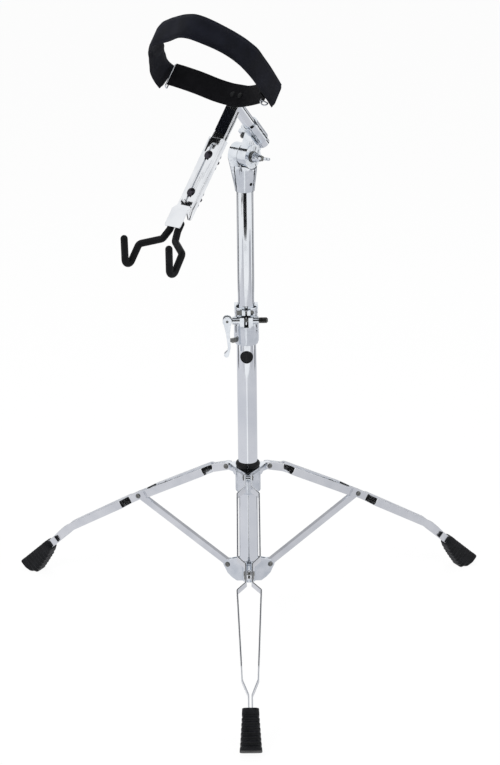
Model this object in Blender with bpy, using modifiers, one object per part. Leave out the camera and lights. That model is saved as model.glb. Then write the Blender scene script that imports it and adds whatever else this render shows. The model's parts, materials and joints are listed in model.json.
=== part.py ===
# Djembe stand: a folding tripod with a two-stage tube, a tilting strap holder and two rest hooks.
# Metres, +Z up, front leg towards -Y, origin on the floor under the middle of the footprint.
import math

import bmesh
import bpy
from mathutils import Matrix, Vector

mm = 0.001
deg = math.radians(1.0)

# General
gap = 0.3 * mm                      # running clearance between neighbouring pieces
round_sides = 32                    # facets round a tube
small_sides = 14                    # facets round a pin or a screw

# Tubes
lower_tube_od = 30.0 * mm
lower_tube_wall = 1.5 * mm
lower_tube_length = 380.5 * mm
upper_tube_od = 25.4 * mm
upper_tube_wall = 1.5 * mm
upper_tube_insert = 230.0 * mm      # length of upper tube below the clamp top
upper_tube_show = 175.8 * mm        # bare upper tube between memory lock and tilter socket
plug_height = 14.0 * mm

# Folding legs: brace and upper leg arm are equally long, so the collar travels straight
pivot_radius = 35.8 * mm            # pivots on collar and bracket, from the tube axis
link_length = 185.0 * mm            # bracket pivot to apex, and collar pivot to apex
link_angle = 27.0 * deg             # brace above the floor plane when standing
leg_azimuths = {"front": -90.0 * deg, "right": 30.0 * deg, "left": 150.0 * deg}
strip_height = 12.5 * mm
strip_thickness = 2.4 * mm
strip_inner_gap = 7.4 * mm          # between the two strips where they hold lug and brace
crest_along = 33.0 * mm             # first bend, along the collar-to-apex line
crest_rise = 5.1 * mm
knee_along = 344.3 * mm
knee_rise = -12.7 * mm
entry_along = 401.3 * mm            # where the strips enter the foot
entry_rise = -29.9 * mm
tongue_length = 30.0 * mm           # strip inside the foot
upper_bulge = 33.4 * mm             # centre to centre of the strips, collar to apex
lower_bulge = 35.4 * mm
ankle_spread = 23.2 * mm            # centre to centre just above the foot
tongue_spread = 5.2 * mm            # centre to centre inside the foot
jog_length = 13.0 * mm              # length of the bend from narrow to wide
upper_jog = 32.5 * mm               # middle of that bend below the collar
waist_jogs = (-20.5 * mm, 25.0 * mm)    # middles of the bends either side of the brace pivot
closed_run = 16.3 * mm              # strips lie closed over this length before the foot
closing_run = 21.6 * mm             # and close up over this length before that

# Pins and rivets
pin_radius = 2.5 * mm
pin_head_radius = 4.1 * mm
pin_head_height = 1.7 * mm

# Braces
brace_height = 10.6 * mm
brace_wall = 1.6 * mm

# Rubber feet
entry_height = 53.5 * mm            # strip entry above the floor
foot_half_width_top = 12.0 * mm
foot_half_width_toe = 16.2 * mm
foot_corner_half_width = 14.6 * mm  # at the bevelled corner of the toe
# Underside of the foot in mm: out from the strip entry, up from the floor
sole_points = [(23.2, 0.0), (34.2, 0.0), (44.2, 5.0), (51.2, 11.0)]
foot_ribs = 6
rib_depth = 1.4 * mm

# Collar
hub_corner_radius = 28.8 * mm
hub_corner_half_width = 5.0 * mm
hub_above = 5.6 * mm
hub_below = 10.6 * mm
hub_waist_radius = 22.0 * mm
boss_radius = 19.6 * mm
boss_below = 36.0 * mm
bush_wall = 1.4 * mm
bush_ring_radius = 19.0 * mm
bush_ring_height = 9.0 * mm
bush_slit = 1.6 * mm
collar_screw_azimuth = 105.0 * deg
collar_screw_drop = 24.0 * mm
screw_radius = 3.0 * mm

# Tripod bracket
ear_thickness = 2.2 * mm
ear_tip_radius = 7.6 * mm
bracket_core_radius = 11.0 * mm
bracket_flange_height = 4.0 * mm
spigot_height = 20.0 * mm
bracket_depth = 21.5 * mm           # below the bracket pivots
tube_seat_rise = 16.7 * mm          # tube end above the bracket pivots

# Height clamp
clamp_overlap = 21.0 * mm           # clamp skirt over the lower tube
clamp_height = 49.5 * mm
clamp_skirt_radius = 19.0 * mm
clamp_neck_radius = 17.6 * mm
clamp_slot = 6.6 * mm
clamp_slot_depth = 19.0 * mm
lug_half_width = 9.8 * mm
lug_reach = 30.0 * mm               # front face of the clamp lugs, from the tube axis
lug_height = 14.0 * mm
clamp_bolt_reach = 23.0 * mm        # clamp bolt in front of the tube axis
clamp_bolt_drop = 6.4 * mm         # clamp bolt under the clamp top
clamp_bolt_radius = 3.0 * mm
clamp_boss_radius = 6.0 * mm
lever_side_reach = 21.0 * mm
nut_side_reach = 18.5 * mm
tension_nut_radius = 4.3 * mm
tension_nut_length = 12.5 * mm
lever_pivot_out = 28.6 * mm
lever_hub_radius = 7.0 * mm
lever_width = 13.0 * mm
lever_length = 54.0 * mm
lever_slot = 6.6 * mm
eye_radius = 5.2 * mm
eye_thickness = 6.0 * mm
cam_pin_radius = 1.6 * mm
clamp_bush_wall = 1.2 * mm
set_screw_azimuth = 212.0 * deg
set_screw_rise = 8.0 * mm

# Memory lock
lock_height = 9.2 * mm
lock_radius = 18.0 * mm
lock_slit = 3.0 * mm
lock_lug_reach = 24.5 * mm
lock_lug_half_width = 6.5 * mm
lock_ear_height = 3.5 * mm
key_bolt_radius = 2.2 * mm

# Badge, bare
badge_radius = 9.8 * mm
badge_thickness = 1.4 * mm
badge_drop = 18.5 * mm              # centre below the clamp skirt

# Tilter
tilter_azimuth = -40.0 * deg        # direction of the tilter axis, seen from above
tilter_radius = 18.0 * mm
tilter_base_width = 17.0 * mm
tilter_head_width = 16.0 * mm
tilter_rise = 53.5 * mm             # tilter axis above the socket's lower end
socket_bottom_radius = 14.6 * mm
socket_top_radius = 18.4 * mm
socket_height = 36.0 * mm
tilter_bolt_radius = 4.0 * mm
wing_nut_radius = 14.5 * mm
wing_nut_turn = 76.0 * deg          # wings nearly level
sleeve_radius = 12.4 * mm
sleeve_length = 36.0 * mm
sleeve_side = 13.2 * mm             # sleeve axis, along the tilter axis
sleeve_back = -3.6 * mm
sleeve_rise = 50.3 * mm             # sleeve mouth above the tilter axis
sleeve_rim = 12.0 * mm              # plain round part of the sleeve above its lug
sleeve_slit = 2.4 * mm
sleeve_lug_reach = 14.5 * mm
sleeve_lug_thickness = 5.6 * mm

# Arm and holder bar
arm_od = 19.0 * mm
arm_wall = 1.6 * mm
arm_angle = 48.0 * deg              # arm above the horizontal
arm_tail = 48.0 * mm                # arm below the sleeve mouth
holder_angle = 40.0 * deg           # bar away from the vertical
holder_reach = 43.5 * mm            # front face of the bar at its visible top, from the tilter axis
holder_rise = 81.4 * mm
bar_width = 22.0 * mm
bar_wall = 2.0 * mm
bar_depth = 9.0 * mm
bar_top = 27.0 * mm                 # bar above the visible top, behind the webbing
bar_length = 164.0 * mm
flange_start = 3.0 * mm
slide_top = 51.0 * mm
slide_width = 27.2 * mm
slide_wall = 2.0 * mm
slide_depth = 11.5 * mm
joggle_start = 162.5 * mm
joggle_length = 9.0 * mm
joggle_rise = 6.3 * mm
plate_end = 199.5 * mm
plate_width = 29.0 * mm
slot_width = 7.0 * mm
slot_ends = (60.0 * mm, 156.0 * mm)
holder_bolts = (79.0 * mm, 140.0 * mm)
holder_bolt_radius = 3.0 * mm
holder_bolt_head = 6.6 * mm
holder_wing_radius = 12.0 * mm

# Hooks
hook_rod_radius = 5.2 * mm
hook_start = 185.0 * mm
hook_spread = 42.5 * mm
hook_bend_radius = 7.0 * mm

# Strap
pad_width = 40.0 * mm
pad_thickness = 6.0 * mm
webbing_width = 35.0 * mm
webbing_thickness = 2.0 * mm
webbing_edge = 2.0 * mm             # lower edge of the webbing above the visible top of the bar
strap_rivet_radius = 2.5 * mm
strap_rivet_head = 4.5 * mm
strap_rivets = 14.0 * mm            # between the two rivets
buckle_wire = 1.5 * mm
buckle_depth = 14.0 * mm
ring_wire = 1.3 * mm
ring_radius = 7.5 * mm

# Places that follow from the sizes above
strip_centre = strip_inner_gap / 2 + strip_thickness / 2
lug_thickness = strip_inner_gap - 2 * gap
inner_jog = link_length + waist_jogs[0]
outer_jog = link_length + waist_jogs[1]
close_along = entry_along - closed_run
ankle_along = close_along - closing_run
link_cos = math.cos(link_angle)
link_sin = math.sin(link_angle)


def leg_point(along, rise):
    """Point of a leg, measured along and square to the collar-to-apex line, from the collar pivot."""
    return Vector((along * link_cos + rise * link_sin, 0.0, rise * link_cos - along * link_sin))


collar_z = entry_height - leg_point(entry_along, entry_rise).z
bracket_z = collar_z - 2 * link_length * link_sin
tube_bottom_z = bracket_z + tube_seat_rise
tube_top_z = tube_bottom_z + lower_tube_length
clamp_bottom_z = tube_top_z - clamp_overlap
clamp_top_z = clamp_bottom_z + clamp_height
lock_bottom_z = clamp_top_z + gap
lock_top_z = lock_bottom_z + lock_height + lock_ear_height
socket_z = lock_top_z + upper_tube_show
tilter_z = socket_z + tilter_rise
upper_tube_bottom_z = clamp_top_z - upper_tube_insert
upper_tube_top_z = socket_z + socket_height - 4 * mm
clamp_bolt_z = clamp_top_z - clamp_bolt_drop

entry_point = Vector((pivot_radius, 0, collar_z)) + leg_point(entry_along, entry_rise)
toe_reach = entry_point.x + 54.4 * mm
toe_back_reach = toe_reach * math.sin(30 * deg) + foot_corner_half_width * math.cos(30 * deg)
stand_y = (toe_reach - toe_back_reach) / 2

objects = []


def clear_scene():
    for item in list(bpy.data.objects):
        bpy.data.objects.remove(item, do_unlink=True)


def make_collection(name):
    collection = bpy.data.collections.new(name)
    bpy.context.scene.collection.children.link(collection)
    return collection


def make_material(name, colour, metallic, roughness):
    material = bpy.data.materials.new(name)
    material.use_nodes = True
    shader = material.node_tree.nodes["Principled BSDF"]
    shader.inputs["Base Color"].default_value = (*colour, 1.0)
    shader.inputs["Metallic"].default_value = metallic
    shader.inputs["Roughness"].default_value = roughness
    return material


finishes = {
    "chrome": ((0.80, 0.81, 0.83), 1.0, 0.08),
    "cast chrome": ((0.70, 0.72, 0.75), 1.0, 0.16),
    "zinc": ((0.45, 0.46, 0.46), 1.0, 0.38),
    "rubber": ((0.020, 0.020, 0.022), 0.0, 0.62),
    "nylon": ((0.015, 0.015, 0.017), 0.0, 0.45),
    "strap": ((0.014, 0.015, 0.020), 0.0, 0.88),
    "webbing": ((0.010, 0.010, 0.012), 0.0, 0.80),
    "badge": ((0.008, 0.008, 0.009), 0.0, 0.22),
}


def frame(origin, x_axis, z_axis):
    """Right-handed frame with the given X and Z directions."""
    x = Vector(x_axis).normalized()
    z = Vector(z_axis).normalized()
    y = z.cross(x)
    matrix = Matrix((x, y, z)).transposed().to_4x4()
    matrix.translation = Vector(origin)
    return matrix


def make_empty(name, matrix, parent=None):
    empty = bpy.data.objects.new(name, None)
    empty.empty_display_size = 0.01
    part_collection.objects.link(empty)
    empty.parent = parent
    empty.matrix_local = matrix
    return empty


def add_object(name, mesh, finish, parent, matrix=None, smooth=True):
    """Put a mesh in the scene under its parent empty, with its own material."""
    item = bpy.data.objects.new(name, mesh)
    part_collection.objects.link(item)
    item.parent = parent
    item.matrix_local = matrix if matrix is not None else Matrix.Identity(4)
    mesh.materials.clear()
    mesh.materials.append(make_material(name + " " + finish, *finishes[finish]))
    if smooth:
        mesh.shade_smooth()
        mesh.set_sharp_from_angle(angle=35 * deg)
    objects.append(item)
    return item


def add_cutter(name, mesh, parent, matrix=None):
    item = bpy.data.objects.new(name, mesh)
    cutter_collection.objects.link(item)
    item.parent = parent
    item.matrix_local = matrix if matrix is not None else Matrix.Identity(4)
    item.hide_render = True
    item.display_type = "WIRE"
    return item


def combine(item, operation, other):
    modifier = item.modifiers.new(other.name, "BOOLEAN")
    modifier.operation = operation
    modifier.solver = "EXACT"
    modifier.object = other


def join_shape(item, mesh, parent, matrix=None):
    combine(item, "UNION", add_cutter(item.name + " join", mesh, parent, matrix))


def cut_shape(item, mesh, parent, matrix=None):
    combine(item, "DIFFERENCE", add_cutter(item.name + " cut", mesh, parent, matrix))


def box_mesh(low, high):
    """Box between two corners."""
    low, high = Vector(low), Vector(high)
    shape = bmesh.new()
    bmesh.ops.create_cube(shape, size=1.0)
    bmesh.ops.scale(shape, vec=high - low, verts=shape.verts)
    bmesh.ops.translate(shape, vec=(low + high) / 2, verts=shape.verts)
    return finish_mesh(shape, "box")


def rod_mesh(radius, start, end, axis="Z", sides=small_sides, end_radius=None):
    """Cylinder or cone along X, Y or Z, from start to end on that axis."""
    shape = bmesh.new()
    bmesh.ops.create_cone(
        shape, cap_ends=True, segments=sides, radius1=radius,
        radius2=radius if end_radius is None else end_radius, depth=end - start)
    bmesh.ops.translate(shape, vec=(0, 0, (start + end) / 2), verts=shape.verts)
    turn = {"Z": Matrix.Identity(3), "X": Matrix.Rotation(90 * deg, 3, "Y"),
            "Y": Matrix.Rotation(-90 * deg, 3, "X")}[axis]
    bmesh.ops.rotate(shape, cent=(0, 0, 0), matrix=turn, verts=shape.verts)
    return finish_mesh(shape, "rod")


def finish_mesh(shape, name):
    mesh = bpy.data.meshes.new(name)
    shape.to_mesh(mesh)
    shape.free()
    return mesh


def hull_mesh(points):
    """Convex solid round a set of points."""
    shape = bmesh.new()
    for point in points:
        shape.verts.new(point)
    result = bmesh.ops.convex_hull(shape, input=shape.verts)
    bmesh.ops.delete(shape, geom=[v for v in result["geom_interior"]
                                  if isinstance(v, bmesh.types.BMVert)], context="VERTS")
    bmesh.ops.recalc_face_normals(shape, faces=shape.faces)
    return finish_mesh(shape, "hull")


def evaluated_mesh(item, weld=True):
    """Mesh of an object as its modifiers and curve settings make it, in its own space."""
    bpy.context.view_layer.update()
    seen = item.evaluated_get(bpy.context.evaluated_depsgraph_get())
    mesh = bpy.data.meshes.new_from_object(seen)
    if weld:
        shape = bmesh.new()
        shape.from_mesh(mesh)
        bmesh.ops.remove_doubles(shape, verts=shape.verts, dist=0.00001)
        shape.to_mesh(mesh)
        shape.free()
    return mesh


def turned_mesh(profile, sides=round_sides, closed=False):
    """Solid of revolution about Z; the profile runs down its outer side, as (radius, height)."""
    mesh = bpy.data.meshes.new("profile")
    count = len(profile)
    edges = [(k, k + 1) for k in range(count - 1)] + ([(count - 1, 0)] if closed else [])
    mesh.from_pydata([(r, 0.0, z) for r, z in profile], edges, [])
    item = bpy.data.objects.new("profile", mesh)
    bpy.context.scene.collection.objects.link(item)
    screw = item.modifiers.new("turn", "SCREW")
    screw.steps = sides
    screw.render_steps = sides
    screw.use_merge_vertices = True
    screw.merge_threshold = 0.00001
    screw.use_normal_calculate = False
    result = evaluated_mesh(item)
    bpy.data.objects.remove(item, do_unlink=True)
    return result


def ring_mesh(inner, outer, bottom, top, sides=round_sides, chamfer=0.0):
    """Tube with square or chamfered outer edges."""
    profile = [(outer - chamfer, top), (outer, top - chamfer), (outer, bottom + chamfer),
               (outer - chamfer, bottom), (inner, bottom), (inner, top)]
    if chamfer == 0.0:
        profile = [(outer, top), (outer, bottom), (inner, bottom), (inner, top)]
    return turned_mesh(profile, sides, closed=True)


def plate_mesh(outlines, thickness):
    """Flat plate in the XY plane, centred on it; later outlines are holes."""
    curve = bpy.data.curves.new("plate", "CURVE")
    curve.dimensions = "2D"
    curve.fill_mode = "BOTH"
    curve.extrude = thickness / 2
    for outline in outlines:
        spline = curve.splines.new("POLY")
        spline.points.add(len(outline) - 1)
        for place, (x, y) in zip(spline.points, outline):
            place.co = (x, y, 0, 1)
        spline.use_cyclic_u = True
    item = bpy.data.objects.new("plate", curve)
    bpy.context.scene.collection.objects.link(item)
    mesh = evaluated_mesh(item)
    bpy.data.objects.remove(item, do_unlink=True)
    return mesh


def wire_mesh(points, radius, closed=False, resolution=2):
    """Round wire through the given points."""
    curve = bpy.data.curves.new("wire", "CURVE")
    curve.dimensions = "3D"
    curve.bevel_depth = radius
    curve.bevel_resolution = resolution
    curve.use_fill_caps = not closed
    spline = curve.splines.new("POLY")
    spline.points.add(len(points) - 1)
    for place, point in zip(spline.points, points):
        place.co = (*point, 1)
    spline.use_cyclic_u = closed
    item = bpy.data.objects.new("wire", curve)
    bpy.context.scene.collection.objects.link(item)
    mesh = evaluated_mesh(item)
    bpy.data.objects.remove(item, do_unlink=True)
    return mesh


def arc(centre, radius, start, end, steps):
    """Points on an arc, angles in degrees, both ends included."""
    angles = [(start + (end - start) * k / steps) * deg for k in range(steps + 1)]
    return [(centre[0] + radius * math.cos(t), centre[1] + radius * math.sin(t)) for t in angles]


def circle(centre, radius, sides=small_sides):
    """Closed outline of a round hole."""
    return arc(centre, radius, 0, 360 * (sides - 1) / sides, sides - 1)


def smooth_path(points, steps):
    """Catmull-Rom curve through the points, with the given steps between two of them."""
    points = [Vector(p) for p in points]
    ends = [2 * points[0] - points[1]] + points + [2 * points[-1] - points[-2]]
    path = []
    for a, b, c, d in zip(ends, ends[1:], ends[2:], ends[3:]):
        for k in range(steps):
            t = k / steps
            path.append(0.5 * (2 * b + (c - a) * t + (2 * a - 5 * b + 4 * c - d) * t * t
                               + (3 * b - a - 3 * c + d) * t * t * t))
    path.append(points[-1])
    return path


def rounded_path(points, radius, steps=5):
    """Straight runs joined by round bends."""
    points = [Vector(p) for p in points]
    path = [points[0]]
    for before, corner, after in zip(points, points[1:], points[2:]):
        back = (before - corner).normalized()
        ahead = (after - corner).normalized()
        half = back.angle(ahead) / 2
        reach = min(radius / math.tan(half), (before - corner).length * 0.48,
                    (after - corner).length * 0.48)
        bend = reach * math.tan(half)
        centre = corner + (back + ahead).normalized() * (bend / math.sin(half))
        first = (corner + back * reach - centre).normalized()
        last = (corner + ahead * reach - centre).normalized()
        path += [centre + first.slerp(last, k / steps) * bend for k in range(steps + 1)]
    path.append(points[-1])
    return path


def ribbon_mesh(stations, thickness):
    """Strip of sheet: each station gives its two edge points; the sheet is thickened both ways."""
    shape = bmesh.new()
    rows = [[shape.verts.new(p) for p in station] for station in stations]
    for row, following in zip(rows, rows[1:]):
        for k in range(len(row) - 1):
            shape.faces.new((row[k], row[k + 1], following[k + 1], following[k]))
    mesh = finish_mesh(shape, "ribbon")
    item = bpy.data.objects.new("ribbon", mesh)
    bpy.context.scene.collection.objects.link(item)
    solidify = item.modifiers.new("sheet", "SOLIDIFY")
    solidify.thickness = thickness
    solidify.offset = 0.0
    solidify.use_even_offset = True
    result = evaluated_mesh(item)
    bpy.data.objects.remove(item, do_unlink=True)
    shape = bmesh.new()
    shape.from_mesh(result)
    bmesh.ops.recalc_face_normals(shape, faces=shape.faces)
    shape.to_mesh(result)
    shape.free()
    return result


def pin_mesh(half_grip, radius=pin_radius, head=pin_head_radius, height=pin_head_height):
    """Rivet along Z with a low head at each end."""
    end = half_grip + gap
    top = end + height
    crown = head * 0.8
    profile = [(0, top), (crown, top), (head, end), (radius, end),
               (radius, -end), (head, -end), (crown, -top), (0, -top)]
    return turned_mesh(profile, small_sides)


def wing_mesh(hub_radius, hub_end, wing_start, wing_end, reach, thickness):
    """Wing nut along Z: the hub outline and two wings that flare out and away from the work."""
    outline = [(hub_radius * 0.8, 1 * mm), (hub_radius, wing_start)]
    outline += arc((reach - 4 * mm, (wing_start + wing_end) / 2 + 2 * mm), 4 * mm, -70, 90, 6)
    outline += [(hub_radius * 0.8, hub_end)]
    left = [(-x, y) for x, y in reversed(outline)]
    mesh = plate_mesh([outline + left], thickness)
    mesh.transform(Matrix.Rotation(90 * deg, 4, "X"))
    return mesh


def make_tubes(stand):
    tube = ring_mesh(lower_tube_od / 2 - lower_tube_wall, lower_tube_od / 2,
                     tube_bottom_z, tube_top_z)
    add_object("lower_tube", tube, "chrome", stand)


def make_bracket(stand):
    """Cast foot of the tube: a spigot, a core and three pairs of ears."""
    bore = lower_tube_od / 2 - lower_tube_wall - gap
    floor = bracket_z - bracket_depth
    seat = tube_bottom_z - gap
    profile = [(bore - 1 * mm, seat + spigot_height), (bore, seat + spigot_height - 1 * mm),
               (bore, seat), (lower_tube_od / 2, seat),
               (lower_tube_od / 2, seat - bracket_flange_height),
               (bracket_core_radius, seat - bracket_flange_height - 3 * mm),
               (bracket_core_radius, floor + 1 * mm), (bracket_core_radius - 1 * mm, floor),
               (0, floor)]
    core = add_object("tripod_bracket", turned_mesh([(0, seat + spigot_height)] + profile),
                      "cast chrome", stand)
    top = seat - bracket_z
    outline = [(4 * mm, top - 1 * mm), (lower_tube_od / 2 + 1 * mm, top - 1 * mm)]
    outline += arc((pivot_radius, 0), ear_tip_radius, 96, -50, 9)
    outline += [(36 * mm, -14.5 * mm), (28 * mm, -20.5 * mm), (19 * mm, -24.5 * mm),
                (4 * mm, 0.5 * mm - bracket_depth)]
    hole = circle((pivot_radius, 0), pin_radius + gap)
    for name, azimuth in leg_azimuths.items():
        for side in (-1, 1):
            plate = plate_mesh([outline, list(reversed(hole))], ear_thickness)
            middle = side * (strip_inner_gap + ear_thickness) / 2
            turn = Matrix.Rotation(azimuth, 4, "Z") @ Matrix.Translation((0, middle, bracket_z))
            join_shape(core, plate, stand, turn @ Matrix.Rotation(90 * deg, 4, "X"))


def strip_offset(along):
    """Distance of a strip from the middle plane of its leg, along the collar-to-apex line."""
    upper = upper_bulge / 2
    lower = lower_bulge / 2
    ankle = ankle_spread / 2
    half = jog_length / 2
    stops = [(-10 * mm, strip_centre), (upper_jog - half, strip_centre),
             (upper_jog + half, upper), (inner_jog - half, upper),
             (inner_jog + half, strip_centre), (outer_jog - half, strip_centre),
             (outer_jog + half, lower), (ankle_along, ankle),
             (close_along, tongue_spread / 2), (entry_along + tongue_length, tongue_spread / 2)]
    for (a, low), (b, high) in zip(stops, stops[1:]):
        if along <= b:
            return low + (high - low) * (along - a) / (b - a)
    return stops[-1][1]


def strip_stations(side):
    """Edge points of one leg strip, in the leg's frame with the collar pivot at the origin."""
    tongue = (Vector((entry_along - knee_along, entry_rise - knee_rise)).normalized()
              * tongue_length)
    bends = [(0.0, 0.0), (crest_along, crest_rise), (link_length, 0.0), (knee_along, knee_rise),
             (entry_along, entry_rise), (entry_along + tongue.x, entry_rise + tongue.y)]
    end = strip_height / 2
    marks = [-end * math.cos(angle * deg) for angle in (12, 30, 50, 70, 90)]
    half = jog_length / 2
    marks += [upper_jog - half, crest_along, upper_jog + half]
    marks += [jog + way * half for jog in (inner_jog, outer_jog) for way in (-1, 1)]
    marks += [link_length, (link_length + knee_along) / 2, knee_along - 9 * mm, knee_along,
              knee_along + 9 * mm, ankle_along, close_along, entry_along,
              entry_along + tongue.x]
    middle = []
    for along in sorted(marks):
        for (a, low), (b, high) in zip(bends, bends[1:]):
            if along <= b:
                rise = low + (high - low) * (along - a) / (b - a)
                break
        middle.append(Vector((along, rise)))
    stations = []
    for k, place in enumerate(middle):
        before = middle[max(k - 1, 0)]
        after = middle[min(k + 1, len(middle) - 1)]
        back = (place - before).normalized() if k else (after - place).normalized()
        ahead = (after - place).normalized() if k < len(middle) - 1 else back
        run = (back + ahead).normalized()
        reach = math.sqrt(end ** 2 - min(place.x, 0.0) ** 2)
        square = Vector((-run.y, run.x)) * reach / max(run.dot(back), 0.5)
        offset = side * strip_offset(place.x)
        edges = [place - square, place + square]
        stations.append([(leg_point(p.x, p.y) + Vector((0, offset, 0))) for p in edges])
    return stations


def make_leg(stand, name, azimuth):
    """Two strips, one rubber foot, the brace and its three rivets."""
    turn = Matrix.Rotation(azimuth, 4, "Z")
    collar_pivot = make_empty("collar_pivot_" + name,
                              turn @ Matrix.Translation((pivot_radius, 0, collar_z)), stand)
    apex = Vector((pivot_radius + link_length * link_cos, 0, bracket_z + link_length * link_sin))
    apex_pivot = make_empty("apex_pivot_" + name, turn @ Matrix.Translation(apex), stand)
    bracket_pivot = make_empty("bracket_pivot_" + name,
                               turn @ Matrix.Translation((pivot_radius, 0, bracket_z)), stand)
    to_collar = Matrix.Translation(Vector((pivot_radius, 0, collar_z)) - apex)
    across = Matrix.Rotation(90 * deg, 4, "X")
    for label, side in (("a", -1), ("b", 1)):
        mesh = ribbon_mesh(strip_stations(side), strip_thickness)
        mesh.transform(to_collar)
        strip = add_object("leg_strip_%s_%s" % (name, label), mesh, "chrome", apex_pivot)
        wide = 2 * lower_bulge
        hole = rod_mesh(pin_radius + gap, -wide / 2, wide / 2, "Y")
        cut_shape(strip, hole, apex_pivot, to_collar)
        cut_shape(strip, hole.copy(), apex_pivot)
    make_foot(name, apex_pivot, to_collar)
    make_brace(name, bracket_pivot)
    grip = strip_centre + strip_thickness / 2
    add_object("collar_pin_" + name, pin_mesh(grip), "zinc", collar_pivot, across)
    add_object("apex_pin_" + name, pin_mesh(grip), "zinc", apex_pivot, across)
    ear_grip = strip_inner_gap / 2 + ear_thickness
    add_object("bracket_pin_" + name, pin_mesh(ear_grip), "zinc", bracket_pivot, across)


def make_brace(name, bracket_pivot):
    """Folded channel between bracket and leg, open below, with round ends."""
    half = brace_height / 2
    outline = arc((link_length, 0), half, -90, 90, 8) + arc((0, 0), half, 90, 270, 8)
    mesh = plate_mesh([outline], lug_thickness)
    lay = Matrix.Rotation(-link_angle, 4, "Y")
    stand_up = lay @ Matrix.Rotation(90 * deg, 4, "X")
    brace = add_object("brace_" + name, mesh, "chrome", bracket_pivot, stand_up)
    inner = lug_thickness / 2 - brace_wall
    hollow = box_mesh((-3 * half, -2 * half, -inner), (link_length + 3 * half, half - brace_wall, inner))
    cut_shape(brace, hollow, bracket_pivot, stand_up)
    for along in (0, link_length):
        hole = rod_mesh(pin_radius + gap, -lug_thickness, lug_thickness)
        hole.transform(Matrix.Translation((along, 0, 0)))
        cut_shape(brace, hole, bracket_pivot, stand_up)


def make_foot(name, apex_pivot, to_collar):
    """Rubber boot: a ribbed block along the strip end, flat where it stands."""
    run = leg_point(entry_along, entry_rise) - leg_point(knee_along, knee_rise)
    run.normalize()
    square = Vector((-run.z, 0, run.x))
    entry = leg_point(entry_along, entry_rise)
    lower = [(2, -8), (9, -11.5), (16, -14.4), (38, -19.5)]
    lower = [run * (s * mm) + square * (r * mm) for s, r in lower]
    floor = -entry_height
    lower += [Vector((x * mm, 0, floor + z * mm)) for x, z in sole_points]
    upper = [run * (s * mm) + square * (r * mm) for s, r in [(0, 9), (30, 9.8), (66.2, 10.7)]]

    def height_at(edge, s):
        flat = [(p.dot(run), p.dot(square)) for p in edge]
        for (a, low), (b, high) in zip(flat, flat[1:]):
            if s <= b:
                return low + (high - low) * max(s - a, 0) / max(b - a, 1e-6)
        return flat[-1][1]

    start = 1.5 * mm
    end = upper[-1].dot(run) - 0.2 * mm
    first = start + 12 * mm
    last = end - 12 * mm
    pitch = (last - first) / (foot_ribs - 1)
    marks = [(start, 1), (start + 5 * mm, 1)]
    for k in range(foot_ribs):
        middle = first + pitch * k
        marks += [(middle - 2.0 * mm, 1), (middle - 1.0 * mm, 0), (middle + 1.0 * mm, 0),
                  (middle + 2.0 * mm, 1)]
    marks += [(point.dot(run), 1) for point in lower[4:7]] + [(end, 1)]
    marks.sort()
    kept = [marks[0]]
    for mark in marks[1:]:
        if mark[0] - kept[-1][0] > 0.3 * mm:
            kept.append(mark)
    shape = bmesh.new()
    rings = []
    for s, full in kept:
        low = height_at(lower, s)
        high = max(height_at(upper, s), low + 0.5 * mm)
        share = min(max((s - start) / (end - start), 0), 1)
        half = foot_half_width_top + (foot_half_width_toe - foot_half_width_top) * share
        cut = 0 if full else rib_depth
        half -= cut
        if high - low > 8 * mm:
            high -= cut
        corner = min(3 * mm, (high - low) / 3)
        section = [(-half, low), (half, low), (half, high - corner), (half - corner, high),
                   (corner - half, high), (-half, high - corner)]
        rings.append([shape.verts.new(run * s + square * r + Vector((0, w, 0)))
                      for w, r in section])
    for ring, following in zip(rings, rings[1:]):
        for k in range(len(ring)):
            j = (k + 1) % len(ring)
            shape.faces.new((ring[k], ring[j], following[j], following[k]))
    shape.faces.new(list(reversed(rings[0])))
    shape.faces.new(rings[-1])
    bmesh.ops.recalc_face_normals(shape, faces=shape.faces)
    mesh = finish_mesh(shape, "foot")
    place = to_collar @ Matrix.Translation(entry)
    foot = add_object("foot_" + name, mesh, "rubber", apex_pivot, place, smooth=False)
    pocket = box_mesh((-20 * mm, -(tongue_spread + strip_thickness) / 2 - gap, -strip_height / 2 - gap),
                      (tongue_length + gap, (tongue_spread + strip_thickness) / 2 + gap,
                       strip_height / 2 + gap))
    lie = frame(entry, run, square)
    cut_shape(foot, pocket, apex_pivot, to_collar @ lie)


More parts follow.
